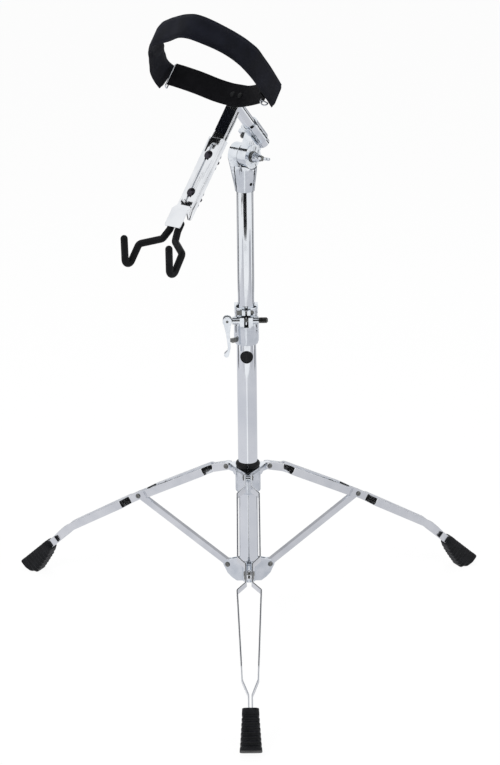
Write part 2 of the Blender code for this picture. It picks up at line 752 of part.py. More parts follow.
def make_collar(stand):
    """Cast hub with three lugs, its split nylon bush and the wing screw."""
    bore = lower_tube_od / 2 + gap + bush_wall + gap
    corners = []
    for azimuth in leg_azimuths.values():
        turn = Matrix.Rotation(azimuth, 3, "Z")
        for side in (-1, 1):
            top = (hub_corner_radius, side * hub_corner_half_width, collar_z + hub_above)
            rim = (hub_corner_radius, side * hub_corner_half_width, collar_z + hub_above - 5 * mm)
            low = (hub_waist_radius, side * hub_corner_half_width, collar_z - hub_below)
            corners += [turn @ Vector(top), turn @ Vector(rim), turn @ Vector(low)]
    pivot = make_empty("collar_axis", Matrix.Translation((0, -pivot_radius, collar_z)), stand)
    back = Matrix.Translation((0, pivot_radius, -collar_z))
    hub_mesh = hull_mesh(corners)
    hub_mesh.transform(back)
    hub = add_object("collar_hub", hub_mesh, "cast chrome", pivot)
    boss_foot = collar_z - boss_below
    boss = turned_mesh([(0, collar_z), (boss_radius, collar_z), (boss_radius, boss_foot + 3 * mm),
                        (boss_radius - 2.5 * mm, boss_foot), (0, boss_foot)])
    join_shape(hub, boss, pivot, back)
    outline = [(bore, -hub_below + 2 * mm)]
    outline += arc((pivot_radius, 0), strip_height / 2 - 0.4 * mm, -100, 75, 9)
    outline += [(bore, hub_above - 0.5 * mm)]
    hole = circle((pivot_radius, 0), pin_radius + gap)
    for azimuth in leg_azimuths.values():
        plate = plate_mesh([outline, list(reversed(hole))], lug_thickness)
        turn = Matrix.Rotation(azimuth, 4, "Z") @ Matrix.Translation((0, 0, collar_z))
        join_shape(hub, plate, pivot, back @ turn @ Matrix.Rotation(90 * deg, 4, "X"))
    cut_shape(hub, rod_mesh(bore, collar_z - 60 * mm, collar_z + 60 * mm, sides=round_sides),
              pivot, back)
    screw_z = collar_z - collar_screw_drop
    turn = Matrix.Rotation(collar_screw_azimuth, 4, "Z")
    hole = rod_mesh(screw_radius + gap, lower_tube_od / 2, 30 * mm, "X")
    cut_shape(hub, hole, pivot, back @ turn @ Matrix.Translation((0, 0, screw_z)))

    inner = lower_tube_od / 2 + gap
    ring_foot = hub_above + gap
    profile = [(bush_ring_radius - 3 * mm, ring_foot + bush_ring_height),
               (bush_ring_radius - 0.8 * mm, ring_foot + bush_ring_height - 2 * mm),
               (bush_ring_radius, ring_foot + bush_ring_height / 2),
               (bush_ring_radius - 0.6 * mm, ring_foot + 1.5 * mm),
               (bush_ring_radius - 2 * mm, ring_foot), (inner + bush_wall, ring_foot),
               (inner + bush_wall, -hub_below), (inner, -hub_below),
               (inner, ring_foot + bush_ring_height)]
    bush = turned_mesh([(r, z + collar_z) for r, z in profile], closed=True)
    bush.transform(back)
    bush = add_object("collar_bush", bush, "nylon", pivot)
    slit = box_mesh((-bush_slit / 2, -40 * mm, collar_z - 30 * mm), (bush_slit / 2, 0, collar_z + 40 * mm))
    cut_shape(bush, slit, pivot, back)

    tip = inner + bush_wall + gap
    outward = frame(turn @ Vector((tip, 0, screw_z)), turn.to_3x3() @ Vector((0, 0, 1)),
                    turn.to_3x3() @ Vector((1, 0, 0)))
    axis = make_empty("collar_screw_axis", back @ outward, pivot)
    shank = 12.0 * mm
    screw = add_object("collar_wing_screw", rod_mesh(screw_radius, 0, shank + 6 * mm),
                       "cast chrome", axis)
    wings = wing_mesh(5.5 * mm, 12 * mm, 3 * mm, 14 * mm, 15 * mm, 4 * mm)
    join_shape(screw, wings, axis, Matrix.Translation((0, 0, shank)))
    join_shape(screw, rod_mesh(5.5 * mm, shank - 3 * mm, shank + 9 * mm), axis)


def make_clamp(stand):
    """Height clamp: casting, nylon bush, bolt, tension nut, cam lever and set screw."""
    sleeve = lower_tube_od / 2 + gap
    bush_outer = upper_tube_od / 2 + gap + clamp_bush_wall
    neck_bore = bush_outer + gap
    shelf = tube_top_z + gap
    profile = [(clamp_neck_radius - 1 * mm, clamp_top_z), (clamp_neck_radius, clamp_top_z - 1 * mm),
               (clamp_neck_radius, clamp_top_z - 16 * mm),
               (clamp_skirt_radius, clamp_top_z - 20 * mm),
               (clamp_skirt_radius, clamp_bottom_z + 5 * mm),
               (sleeve + 2 * mm, clamp_bottom_z), (sleeve, clamp_bottom_z), (sleeve, shelf),
               (neck_bore, shelf), (neck_bore, clamp_top_z)]
    body = add_object("clamp_body", turned_mesh(profile, closed=True), "cast chrome", stand)
    lug = box_mesh((-lug_half_width, -lug_reach, clamp_top_z - lug_height),
                   (lug_half_width, -neck_bore - 0.1 * mm, clamp_top_z - 0.5 * mm))
    join_shape(body, lug, stand)
    at_bolt = Matrix.Translation((0, -clamp_bolt_reach, clamp_bolt_z))
    boss = rod_mesh(clamp_boss_radius, -lever_side_reach, nut_side_reach, "X")
    join_shape(body, boss, stand, at_bolt)
    slot = box_mesh((-clamp_slot / 2, -lug_reach - 5 * mm, clamp_top_z - clamp_slot_depth),
                    (clamp_slot / 2, 0, clamp_top_z + 5 * mm))
    cut_shape(body, slot, stand)
    cut_shape(body, rod_mesh(clamp_bolt_radius + gap, -40 * mm, 40 * mm, "X"), stand, at_bolt)
    screw_turn = Matrix.Rotation(set_screw_azimuth, 4, "Z")
    screw_place = Matrix.Translation((0, 0, clamp_bottom_z + set_screw_rise))
    hole = rod_mesh(key_bolt_radius + gap, lower_tube_od / 2 - 1 * mm, 30 * mm, "X")
    cut_shape(body, hole, stand, screw_turn @ screw_place)

    bush = ring_mesh(upper_tube_od / 2 + gap, bush_outer, shelf, clamp_top_z - 0.5 * mm)
    bush = add_object("clamp_bush", bush, "nylon", stand)
    slit = box_mesh((-1 * mm, -30 * mm, shelf - 5 * mm), (1 * mm, 0, clamp_top_z + 5 * mm))
    cut_shape(bush, slit, stand)

    start = lower_tube_od / 2 + gap
    screw = rod_mesh(key_bolt_radius, start, clamp_skirt_radius + 3 * mm, "X")
    screw = add_object("clamp_set_screw", screw, "zinc", stand, screw_turn @ screw_place)
    head = 3.0 * mm
    square = box_mesh((clamp_skirt_radius + gap, -head, -head),
                      (clamp_skirt_radius + 8 * mm, head, head))
    join_shape(screw, square, stand, screw_turn @ screw_place)

    bolt_axis = make_empty("clamp_bolt_axis", at_bolt, stand)
    eye_out = -lever_pivot_out
    tail = nut_side_reach + tension_nut_length + 1.5 * mm
    bolt = add_object("clamp_bolt", rod_mesh(clamp_bolt_radius, eye_out + eye_radius - 1 * mm, tail, "X"),
                      "zinc", bolt_axis)
    eye = rod_mesh(eye_radius, -eye_thickness / 2, eye_thickness / 2, "Y")
    eye.transform(Matrix.Translation((eye_out, 0, 0)))
    join_shape(bolt, eye, bolt_axis)
    hole = rod_mesh(cam_pin_radius + gap, -eye_thickness, eye_thickness, "Y")
    hole.transform(Matrix.Translation((eye_out, 0, 0)))
    cut_shape(bolt, hole, bolt_axis)

    nut = ring_mesh(clamp_bolt_radius + gap, tension_nut_radius, nut_side_reach + gap,
                    nut_side_reach + gap + tension_nut_length, small_sides, 0.5 * mm)
    nut.transform(Matrix.Rotation(90 * deg, 4, "Y"))
    add_object("tension_nut", nut, "zinc", bolt_axis)

    lever_axis = make_empty("lever_axis", at_bolt @ Matrix.Translation((eye_out, 0, 0)), stand)
    hub = rod_mesh(lever_hub_radius, -lever_width / 2, lever_width / 2, "Y", 28)
    lever = add_object("cam_lever", hub, "cast chrome", lever_axis)
    outline = [(-5.4 * mm, -1 * mm), (-4.6 * mm, -9 * mm), (-2.0 * mm, -20 * mm),
               (0.6 * mm, -lever_length + 12 * mm), (-0.6 * mm, -lever_length + 6 * mm),
               (-5.0 * mm, -lever_length + 2 * mm)]
    outline += arc((-1.8 * mm, -lever_length), 3.6 * mm, 185, 350, 8)
    outline += [(4.6 * mm, -lever_length + 12 * mm), (3.6 * mm, -20 * mm),
                (5.0 * mm, -9 * mm), (6.6 * mm, -1 * mm)]
    handle = plate_mesh([outline], lever_width * 0.62)
    join_shape(lever, handle, lever_axis, Matrix.Rotation(90 * deg, 4, "X"))
    slot = box_mesh((-eye_radius - 1.2 * mm, -lever_slot / 2, -eye_radius - 1.2 * mm),
                    (20 * mm, lever_slot / 2, 20 * mm))
    cut_shape(lever, slot, lever_axis)
    pin_half = lever_width / 2 + 0.6 * mm
    cut_shape(lever, rod_mesh(cam_pin_radius + gap, -20 * mm, 20 * mm, "Y"), lever_axis)
    add_object("cam_pin", rod_mesh(cam_pin_radius, -pin_half, pin_half, "Y"), "zinc", lever_axis)


def make_memory_lock(stand):
    """Split ring on the upper tube, with two locating ears and its key bolt."""
    inner = upper_tube_od / 2 + gap
    top = lock_bottom_z + lock_height
    edge = lock_radius - 1 * mm
    disc = turned_mesh([(0, top), (edge, top), (lock_radius, top - 1 * mm),
                        (lock_radius, lock_bottom_z + 1 * mm), (edge, lock_bottom_z),
                        (0, lock_bottom_z)])
    lock = add_object("memory_lock", disc, "cast chrome", stand)
    lug = box_mesh((-lock_lug_half_width, -lock_lug_reach, lock_bottom_z + 1 * mm),
                   (lock_lug_half_width, -inner - 1.5 * mm, lock_bottom_z + lock_height - 1 * mm))
    join_shape(lock, lug, stand)
    for side in (-1, 1):
        ear = box_mesh((side * 15 * mm - 3 * mm, -6 * mm, top - 3 * mm),
                       (side * 15 * mm + 2.6 * mm, 6 * mm, top + lock_ear_height))
        join_shape(lock, ear, stand)
    cut_shape(lock, rod_mesh(inner, lock_bottom_z - 20 * mm, top + 20 * mm, sides=round_sides), stand)
    slit = box_mesh((-lock_slit / 2, -40 * mm, lock_bottom_z - 5 * mm), (lock_slit / 2, 0, top + 15 * mm))
    cut_shape(lock, slit, stand)
    bolt_y = key_bolt_radius + 1.5 * mm - lock_lug_reach
    place = Matrix.Translation((0, bolt_y, lock_bottom_z + lock_height / 2))
    cut_shape(lock, rod_mesh(key_bolt_radius + gap, -40 * mm, 40 * mm, "X"), stand, place)
    reach = lock_lug_half_width
    bolt = add_object("memory_key_bolt", rod_mesh(key_bolt_radius, -reach - 2 * mm, reach + 5 * mm, "X"),
                      "zinc", stand, place)
    head = 2.8 * mm
    join_shape(bolt, box_mesh((-reach - 8 * mm, -head, -head), (-reach - gap, head, head)), stand, place)
    nut = rod_mesh(3.6 * mm, reach + gap, reach + 3.5 * mm, "X", 6)
    join_shape(bolt, nut, stand, place)


def make_badge(stand):
    """Bare round badge that follows the front of the lower tube."""
    centre = clamp_bottom_z - badge_drop
    seat = lower_tube_od / 2 + gap
    disc = rod_mesh(badge_radius, -seat - 6 * mm, -4 * mm, "Y", 40)
    disc.transform(Matrix.Translation((0, 0, centre)))
    badge = add_object("badge", disc, "badge", stand)
    skin = rod_mesh(seat + badge_thickness, centre - 20 * mm, centre + 20 * mm, sides=96)
    combine(badge, "INTERSECT", add_cutter("badge skin", skin, stand))
    cut_shape(badge, rod_mesh(seat, centre - 30 * mm, centre + 30 * mm, sides=96), stand)


def make_upper_post(stand):
    """Upper tube with its end plug, and the lower half of the tilter with its set screw."""
    post = make_empty("height_axis", Matrix.Translation((0, 0, upper_tube_bottom_z)), stand)
    down = Matrix.Translation((0, 0, -upper_tube_bottom_z))
    tube = ring_mesh(upper_tube_od / 2 - upper_tube_wall, upper_tube_od / 2,
                     upper_tube_bottom_z, upper_tube_top_z)
    tube.transform(down)
    add_object("upper_tube", tube, "chrome", post)
    bore = upper_tube_od / 2 - upper_tube_wall - gap
    guide = lower_tube_od / 2 - lower_tube_wall - gap
    low = upper_tube_bottom_z - gap
    profile = [(0, low + plug_height), (bore, low + plug_height), (bore, low), (guide, low),
               (guide, low - 4 * mm), (0, low - 4 * mm)]
    plug = turned_mesh(profile)
    plug.transform(down)
    add_object("upper_tube_plug", plug, "nylon", post)

    top = socket_z + socket_height
    profile = [(0, top + 4 * mm), (socket_top_radius, top + 4 * mm), (socket_top_radius, top - 4 * mm),
               (socket_bottom_radius, socket_z), (0, socket_z)]
    socket = turned_mesh(profile)
    socket.transform(down)
    base = add_object("tilter_base", socket, "cast chrome", post)
    tilt = tilt_frame()
    foot = circle((0, 0), socket_bottom_radius + 0.2 * mm, round_sides)
    flank = [(x, y, socket_z + 3 * mm - tilter_z) for x, y in foot]
    for x in (-tilter_base_width, -gap):
        flank += [(x, y, z) for y, z in circle((0, 0), tilter_radius, round_sides)]
    join_shape(base, hull_mesh(flank), post, down @ tilt)
    clear = rod_mesh(tilter_radius + 0.8 * mm, -gap / 3, 40 * mm, "X", round_sides)
    cut_shape(base, clear, post, down @ tilt)
    bore = rod_mesh(upper_tube_od / 2 + gap, socket_z - 10 * mm, upper_tube_top_z + gap, sides=round_sides)
    cut_shape(base, bore, post, down)
    cut_shape(base, rod_mesh(tilter_bolt_radius + gap, -40 * mm, 40 * mm, "X"), post, down @ tilt)
    screw_z = socket_z + 12.5 * mm
    turn = Matrix.Rotation(-55 * deg, 4, "Z") @ Matrix.Translation((0, 0, screw_z))
    hole = rod_mesh(key_bolt_radius + gap, 5 * mm, 30 * mm, "X")
    cut_shape(base, hole, post, down @ turn)
    screw = rod_mesh(key_bolt_radius, upper_tube_od / 2 + gap, socket_bottom_radius + 0.6 * mm, "X")
    add_object("tilter_set_screw", screw, "nylon", post, down @ turn)
    return post


def tilt_frame():
    """Tilter axis: X along it to the wing nut, Z up."""
    axis = (math.cos(tilter_azimuth), math.sin(tilter_azimuth), 0)
    return frame((0, 0, tilter_z), axis, (0, 0, 1))


def sleeve_frame():
    """Arm sleeve: origin at its mouth, Z along the arm, X along the tilter axis."""
    tilt = tilt_frame()
    origin = tilt @ Vector((sleeve_side, sleeve_back, sleeve_rise))
    up = tilt.to_3x3() @ Vector((0, -math.cos(arm_angle), math.sin(arm_angle)))
    return frame(origin, tilt.to_3x3() @ Vector((1, 0, 0)), up)


def holder_frame():
    """Bar: origin on its front face at the visible top, Y up the bar, Z off the face."""
    tilt = tilt_frame()
    origin = tilt @ Vector((sleeve_side, -holder_reach, holder_rise))
    out = tilt.to_3x3() @ Vector((0, -math.cos(holder_angle), math.sin(holder_angle)))
    return frame(origin, tilt.to_3x3() @ Vector((1, 0, 0)), out)


def make_tilter_head(stand):
    """Upper half of the tilter with the slit arm sleeve, its bolts and the wing nut."""
    tilt = tilt_frame()
    axis = make_empty("tilt_axis", tilt, stand)
    mouth = tilt.inverted() @ sleeve_frame()
    disc = rod_mesh(tilter_radius, gap, tilter_head_width, "X", round_sides)
    head = add_object("tilter_head", disc, "cast chrome", axis)
    foot = mouth @ Vector((0, 0, -sleeve_length))
    top = mouth @ Vector((0, 0, -5 * mm - sleeve_rim))
    wide = 9 * mm
    corners = []
    for x in (2 * mm, tilter_head_width - 1 * mm):
        for side in (-1, 1):
            corners += [(x, side * (tilter_radius - 3 * mm), 0), (x, side * wide + foot.y, foot.z),
                        (x, side * wide * 0.8 + top.y, top.z), (x, side * 12 * mm, 12 * mm)]
    join_shape(head, hull_mesh(corners), axis)
    join_shape(head, rod_mesh(sleeve_radius, -sleeve_length, 0, sides=round_sides), axis, mouth)
    bore = arm_od / 2 + gap
    lug_half = sleeve_slit / 2 + sleeve_lug_thickness
    lug_low = -sleeve_length + 4 * mm
    lug_high = -sleeve_rim - 4 * mm
    lug = box_mesh((-sleeve_radius - sleeve_lug_reach, -lug_half, lug_low),
                   (-bore - 1 * mm, lug_half, lug_high))
    join_shape(head, lug, axis, mouth)
    cut_shape(head, rod_mesh(bore, -2 * arm_tail, 30 * mm, sides=round_sides), axis, mouth)
    slit = box_mesh((-60 * mm, -sleeve_slit / 2, -sleeve_length - 20 * mm), (0, sleeve_slit / 2, 20 * mm))
    cut_shape(head, slit, axis, mouth)
    cut_shape(head, rod_mesh(tilter_bolt_radius + gap, -40 * mm, 60 * mm, "X"), axis)
    bolt_x = -sleeve_radius - sleeve_lug_reach + 5.5 * mm
    bolt_place = mouth @ Matrix.Translation((bolt_x, 0, (lug_low + lug_high) / 2))
    cut_shape(head, rod_mesh(key_bolt_radius + gap, -40 * mm, 40 * mm, "Y"), axis, bolt_place)

    key = rod_mesh(key_bolt_radius, -lug_half - 5 * mm, lug_half + 1 * mm, "Y")
    key = add_object("sleeve_key_bolt", key, "zinc", axis, bolt_place)
    half = 2.8 * mm
    square = box_mesh((-half, lug_half + gap, -half), (half, lug_half + 7 * mm, half))
    join_shape(key, square, axis, bolt_place)
    nut = rod_mesh(3.8 * mm, -lug_half - 3.6 * mm, -lug_half - gap, "Y", 6)
    join_shape(key, nut, axis, bolt_place)

    washer_end = tilter_head_width + gap + 1.5 * mm
    washer = ring_mesh(tilter_bolt_radius + gap, 8.5 * mm, tilter_head_width + gap, washer_end, small_sides)
    washer.transform(Matrix.Rotation(90 * deg, 4, "Y"))
    add_object("tilter_washer", washer, "zinc", axis)

    nut_start = washer_end + gap
    bolt = rod_mesh(tilter_bolt_radius, -tilter_base_width - 2 * mm, nut_start + 16 * mm, "X")
    bolt = add_object("tilter_bolt", bolt, "zinc", axis)
    cap = rod_mesh(7.2 * mm, -tilter_base_width - 5.5 * mm, -tilter_base_width - gap, "X", 6)
    join_shape(bolt, cap, axis)
    spin = make_empty("tilter_wing_axis", Matrix.Translation((nut_start, 0, 0)) @
                      Matrix.Rotation(90 * deg, 4, "Y") @ Matrix.Rotation(wing_nut_turn, 4, "Z"), axis)
    wings = wing_mesh(6.6 * mm, 14 * mm, 9 * mm, 20 * mm, wing_nut_radius, 5 * mm)
    nut = add_object("tilter_wing_nut", rod_mesh(7 * mm, 0, 13 * mm), "cast chrome", spin)
    join_shape(nut, wings, spin)
    cut_shape(nut, rod_mesh(tilter_bolt_radius + gap, -5 * mm, 40 * mm), spin)


def make_arm(stand):
    """Round arm in the sleeve and the holder bar that it carries."""
    mouth = sleeve_frame()
    holder = holder_frame()
    axis = make_empty("arm_axis", mouth, stand)
    out = holder.to_3x3() @ Vector((0, 0, 1))
    along = mouth.to_3x3() @ Vector((0, 0, 1))
    slope = out.dot(along)
    back_face = (holder.translation - mouth.translation).dot(out) - bar_wall - gap
    length = back_face / slope - arm_od / 2 * math.tan(math.acos(min(slope, 1.0)))
    tube = ring_mesh(arm_od / 2 - arm_wall, arm_od / 2, -arm_tail, length)
    add_object("arm_tube", tube, "chrome", axis)

    half = bar_width / 2
    face = make_empty("holder_face", holder, stand)
    outline = arc((0, bar_top - half), half, 0, 180, 10)
    outline += [(-half, -bar_length + half)] + arc((0, -bar_length + half), half, 190, 350, 8)
    outline += [(half, -bar_length + half)]
    holes = [list(reversed(circle((0, -d), holder_bolt_radius + gap))) for d in holder_bolts]
    rivet_y = webbing_edge + webbing_width / 2
    for side in (-1, 1):
        spot = (side * strap_rivets / 2, rivet_y)
        holes.append(list(reversed(circle(spot, strap_rivet_radius + gap, 16))))
    web = plate_mesh([outline] + holes, bar_wall)
    web.transform(Matrix.Translation((0, 0, -bar_wall / 2)))
    bar = add_object("holder_bar", web, "chrome", face)
    for side in (-1, 1):
        outer = side * half
        inner = side * (half - bar_wall)
        flange = box_mesh((min(outer, inner), -bar_length + half, -bar_depth),
                          (max(outer, inner), -flange_start, -bar_wall / 2))
        join_shape(bar, flange, face)
    return face


def make_slide(face):
    """Outer channel with its slot, stepped end plate, bolts and wing nuts."""
    half = slide_width / 2
    lift = gap + slide_wall
    mid = lift - slide_wall / 2
    low = -(joggle_start + joggle_length)
    outline = [(half, -slide_top), (-half, -slide_top), (-half, -joggle_start), (half, -joggle_start)]
    hole = arc((0, -slot_ends[0] - slot_width / 2), slot_width / 2, 0, 180, 8)
    hole += arc((0, -slot_ends[1] + slot_width / 2), slot_width / 2, 180, 360, 8)
    web = plate_mesh([outline, list(reversed(hole))], slide_wall)
    web.transform(Matrix.Translation((0, 0, mid)))
    axis = make_empty("slide_axis", Matrix.Identity(4), face)
    slide = add_object("slide_channel", web, "chrome", axis)
    raised = mid + joggle_rise
    rows = [(-joggle_start + 0.4 * mm, mid, half), (-joggle_start, mid, half),
            (low, raised, plate_width / 2), (-plate_end + 3 * mm, raised, plate_width / 2),
            (-plate_end, raised, plate_width / 2 - 1 * mm)]
    step = ribbon_mesh([[(-w, y, z), (w, y, z)] for y, z, w in rows], slide_wall)
    join_shape(slide, step, axis)
    inner = bar_width / 2 + gap
    for side in (-1, 1):
        near, far = side * inner, side * half
        flange = [(-slide_top, lift - 0.5 * mm), (-slide_top, -slide_depth + lift)]
        flange += arc((-joggle_start - 12 * mm, -slide_depth + lift + 6 * mm), 6 * mm, 270, 180, 5)
        flange += [(-joggle_start - 10 * mm, lift + joggle_rise - 1 * mm),
                   (low - 1 * mm, lift + joggle_rise - 1 * mm), (-joggle_start, lift - 0.5 * mm)]
        plate = plate_mesh([flange], abs(far - near))
        stand_up = frame(((near + far) / 2, 0, 0), (0, 1, 0), (1, 0, 0))
        join_shape(slide, plate, axis, stand_up)
    for label, d in zip(("upper", "lower"), holder_bolts):
        make_holder_bolt(face, label, d, lift)


def make_holder_bolt(face, label, d, lift):
    place = make_empty("holder_bolt_axis_" + label, Matrix.Translation((0, -d, 0)), face)
    seat = lift + gap
    reach = 24.0 * mm
    profile = [(0, seat + 3.4 * mm), (2.6 * mm, seat + 3.1 * mm), (5 * mm, seat + 2.0 * mm),
               (holder_bolt_head, seat + 0.4 * mm), (holder_bolt_head, seat),
               (holder_bolt_radius, seat), (holder_bolt_radius, -reach), (0, -reach)]
    add_object("holder_bolt_" + label, turned_mesh(profile, 24), "chrome", place)
    nut_start = bar_wall + gap
    down = make_empty("holder_wing_axis_" + label, Matrix.Translation((0, 0, -nut_start)) @
                      Matrix.Rotation(180 * deg, 4, "X"), place)
    nut = add_object("holder_wing_nut_" + label, rod_mesh(4.8 * mm, 0, 12 * mm), "cast chrome", down)
    wings = wing_mesh(4.6 * mm, 14 * mm, 12 * mm, 21 * mm, holder_wing_radius, 3.2 * mm)
    join_shape(nut, wings, down)
    cut_shape(nut, rod_mesh(holder_bolt_radius + gap, -5 * mm, 40 * mm), down)


def make_hooks(face):
    """Two rubber-coated rods that cradle the foot of the drum."""
    axis_z = gap + slide_wall + joggle_rise - slide_wall - gap - hook_rod_radius
    for label, side in (("left", -1), ("right", 1)):
        route = [(7.2 * mm, -hook_start, axis_z), (7.6 * mm, -202 * mm, axis_z),
                 (12 * mm, -218 * mm, 1.7 * mm), (41 * mm, -236 * mm, 10 * mm),
                 (42 * mm, -283 * mm, 8 * mm), (hook_spread, -240 * mm, 45 * mm)]
        route = [Vector((side * x, y, z)) for x, y, z in route]
        path = rounded_path(route, hook_bend_radius, 6)
        add_object("hook_" + label, wire_mesh(path, hook_rod_radius), "rubber", face)


def band_mesh(path, low, high, thickness):
    """Band of fabric: a path in the plane square to the bar, between two heights on the bar."""
    return ribbon_mesh([[(x, low, z), (x, high, z)] for x, z in path], thickness)


def make_strap(face):
    """Padded strap, its webbing, buckle, ring and rivets."""
    seat = gap + webbing_thickness / 2
    low = webbing_edge
    high = low + webbing_width
    route = [(-100, 36.5), (-84, 32), (-59, 22), (-34, 7.5)]
    points = [(x * mm, z * mm) for x, z in route]
    points += [(-13 * mm, seat), (0.0, seat), (13 * mm, seat)]
    points += [(x * mm, z * mm) for x, z in [(34, 10), (58, 22), (78, 34), (88, 46), (91, 60)]]
    web_path = smooth_path([(x, z, 0) for x, z in points], 4)
    flat = [(p.x, seat if abs(p.x) < 13 * mm else p.y) for p in web_path]
    webbing = band_mesh(flat, low, high, webbing_thickness)
    webbing = add_object("strap_webbing", webbing, "webbing", face)
    middle = (low + high) / 2
    for side in (-1, 1):
        hole = rod_mesh(strap_rivet_radius + gap, -20 * mm, 20 * mm)
        spot = Matrix.Translation((side * strap_rivets / 2, middle, 0))
        cut_shape(webbing, hole, face, spot)
        top = 2 * seat
        deep = bar_wall
        profile = [(0, top + 1.3 * mm), (3 * mm, top + 1.1 * mm), (strap_rivet_head, top),
                   (strap_rivet_radius, top), (strap_rivet_radius, -deep - gap),
                   (strap_rivet_head - 1 * mm, -deep - gap),
                   (strap_rivet_head - 1 * mm, -deep - 1.6 * mm), (0, -deep - 1.6 * mm)]
        rivet = turned_mesh(profile, small_sides)
        add_object("strap_rivet_" + ("left" if side < 0 else "right"), rivet, "nylon", face, spot)

    lower = [(-121, 25.5), (-116, 46), (-108, 66), (-97, 85), (-83, 105), (-70, 125), (-56, 145),
             (-37, 164), (-15, 176), (10, 188), (40, 205), (59, 208), (74, 202), (95, 188), (107, 173),
             (113, 155), (114, 138), (112, 114), (106, 84), (99, 52), (93, 29)]
    upper = [(-114, 23.5), (-116, 36), (-111, 52), (-101, 70), (-88, 92), (-75, 118), (-57, 145),
             (-36, 165), (-16, 177), (8, 190), (36, 201), (54, 203), (72, 194), (92, 173), (103, 156),
             (108, 141), (110, 126), (106, 104), (101, 78), (93, 46), (87, 24)]
    edge = middle - pad_width / 2 - 1 * mm
    lower_path = smooth_path([(x * mm, z * mm, 0) for x, z in lower], 2)
    upper_path = smooth_path([(x * mm, z * mm, 0) for x, z in upper], 2)
    pad = ribbon_mesh([[(a.x, edge, a.y), (b.x, edge + pad_width, b.y)]
                       for a, b in zip(lower_path, upper_path)], pad_thickness)
    add_object("strap_pad", pad, "strap", face)

    tall = pad_width / 2 + 1 * mm
    deep = buckle_depth / 2
    corners = [(-deep, -tall), (deep, -tall), (deep, tall), (-deep, tall)]
    loop = []
    for (cx, cy), start in zip(corners, (180, 270, 0, 90)):
        sx = 1 if cx > 0 else -1
        sy = 1 if cy > 0 else -1
        loop += arc((cx - sx * 2 * mm, cy - sy * 2 * mm), 2 * mm, start, start + 90, 4)
    wire = wire_mesh([(0, y, x) for x, y in loop], buckle_wire, closed=True)
    lean = Matrix.Translation((-103.3 * mm, middle, 32.4 * mm)) @ Matrix.Rotation(20 * deg, 4, "Y")
    add_object("strap_buckle", wire, "chrome", face, lean)

    bow = arc((0, 0), ring_radius, 180, 360, 12)
    wire = wire_mesh([(0, y, x) for x, y in bow], ring_wire, closed=True)
    hang = Matrix.Translation((85 * mm, low - gap - ring_wire, 41 * mm))
    hang = hang @ Matrix.Rotation(-40 * deg, 4, "Y")
    add_object("strap_ring", wire, "chrome", face, hang)


clear_scene()
part_collection = make_collection("djembe stand")
cutter_collection = make_collection("cutters")
stand_axis = make_empty("stand_axis", Matrix.Translation((0, stand_y, 0)))
make_tubes(stand_axis)
make_bracket(stand_axis)
for leg_name, leg_azimuth in leg_azimuths.items():
    make_leg(stand_axis, leg_name, leg_azimuth)
make_collar(stand_axis)
make_clamp(stand_axis)
make_memory_lock(stand_axis)
make_badge(stand_axis)
make_upper_post(stand_axis)
make_tilter_head(stand_axis)
holder_face = make_arm(stand_axis)
make_slide(holder_face)
make_hooks(holder_face)
make_strap(holder_face)
bpy.context.view_layer.update()
print("pieces", len(objects))
for label, value in (("collar_z", collar_z), ("bracket_z", bracket_z), ("clamp_top_z", clamp_top_z),
                     ("tilter_z", tilter_z), ("stand_y", stand_y)):
    print(label, round(value, 5))
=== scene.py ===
# Djembe stand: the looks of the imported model, for Blender 4.5.
import json
import math

import bmesh
import bpy
import numpy as np
from mathutils import Matrix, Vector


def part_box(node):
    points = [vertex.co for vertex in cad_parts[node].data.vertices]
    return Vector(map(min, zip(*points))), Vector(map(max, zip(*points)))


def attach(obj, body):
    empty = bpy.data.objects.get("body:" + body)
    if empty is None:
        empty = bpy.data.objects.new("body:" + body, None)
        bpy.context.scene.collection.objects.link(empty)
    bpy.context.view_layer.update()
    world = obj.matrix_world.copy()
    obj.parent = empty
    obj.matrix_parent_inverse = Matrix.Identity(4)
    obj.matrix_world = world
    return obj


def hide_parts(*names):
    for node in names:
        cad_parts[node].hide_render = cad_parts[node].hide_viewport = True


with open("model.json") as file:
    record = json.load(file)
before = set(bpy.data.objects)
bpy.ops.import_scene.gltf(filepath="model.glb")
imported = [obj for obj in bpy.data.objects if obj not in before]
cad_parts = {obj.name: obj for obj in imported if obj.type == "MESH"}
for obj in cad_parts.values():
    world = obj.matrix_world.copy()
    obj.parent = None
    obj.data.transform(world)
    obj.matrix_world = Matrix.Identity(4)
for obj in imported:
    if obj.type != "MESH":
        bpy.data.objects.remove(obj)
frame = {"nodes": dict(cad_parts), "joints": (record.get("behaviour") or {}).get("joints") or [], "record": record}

mm = 0.001
deg = math.pi / 180
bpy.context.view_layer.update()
joints = {joint["name"]: joint for joint in frame["joints"]}
legAzimuths = {"front": -90 * deg, "right": 30 * deg, "left": 150 * deg}


# Colours and nodes

def hexColour(text):
    # sRGB hex to linear: (c + 0.055) / 1.055 to the power 2.4, and c / 12.92 near black
    values = [int(text[k:k + 2], 16) / 255 for k in (1, 3, 5)]
    linear = [c / 12.92 if c <= 0.04045 else ((c + 0.055) / 1.055) ** 2.4 for c in values]
    return (*linear, 1.0)


def addNode(tree, kind, settings=None, inputs=None, links=None):
    # Adds a node, sets its properties and sockets, and links other nodes' outputs into it
    node = tree.nodes.new(kind)
    for key, value in (settings or {}).items():
        setattr(node, key, value)
    for key, value in (inputs or {}).items():
        node.inputs[key].default_value = value
    for key, output in (links or {}).items():
        tree.links.new(output, node.inputs[key])
    return node


def addObject(name, data):
    item = bpy.data.objects.new(name, data)
    bpy.context.scene.collection.objects.link(item)
    return item


def bareTree(block):
    # The emptied node tree of a material or a world
    block.use_nodes = True
    block.node_tree.nodes.clear()
    return block.node_tree


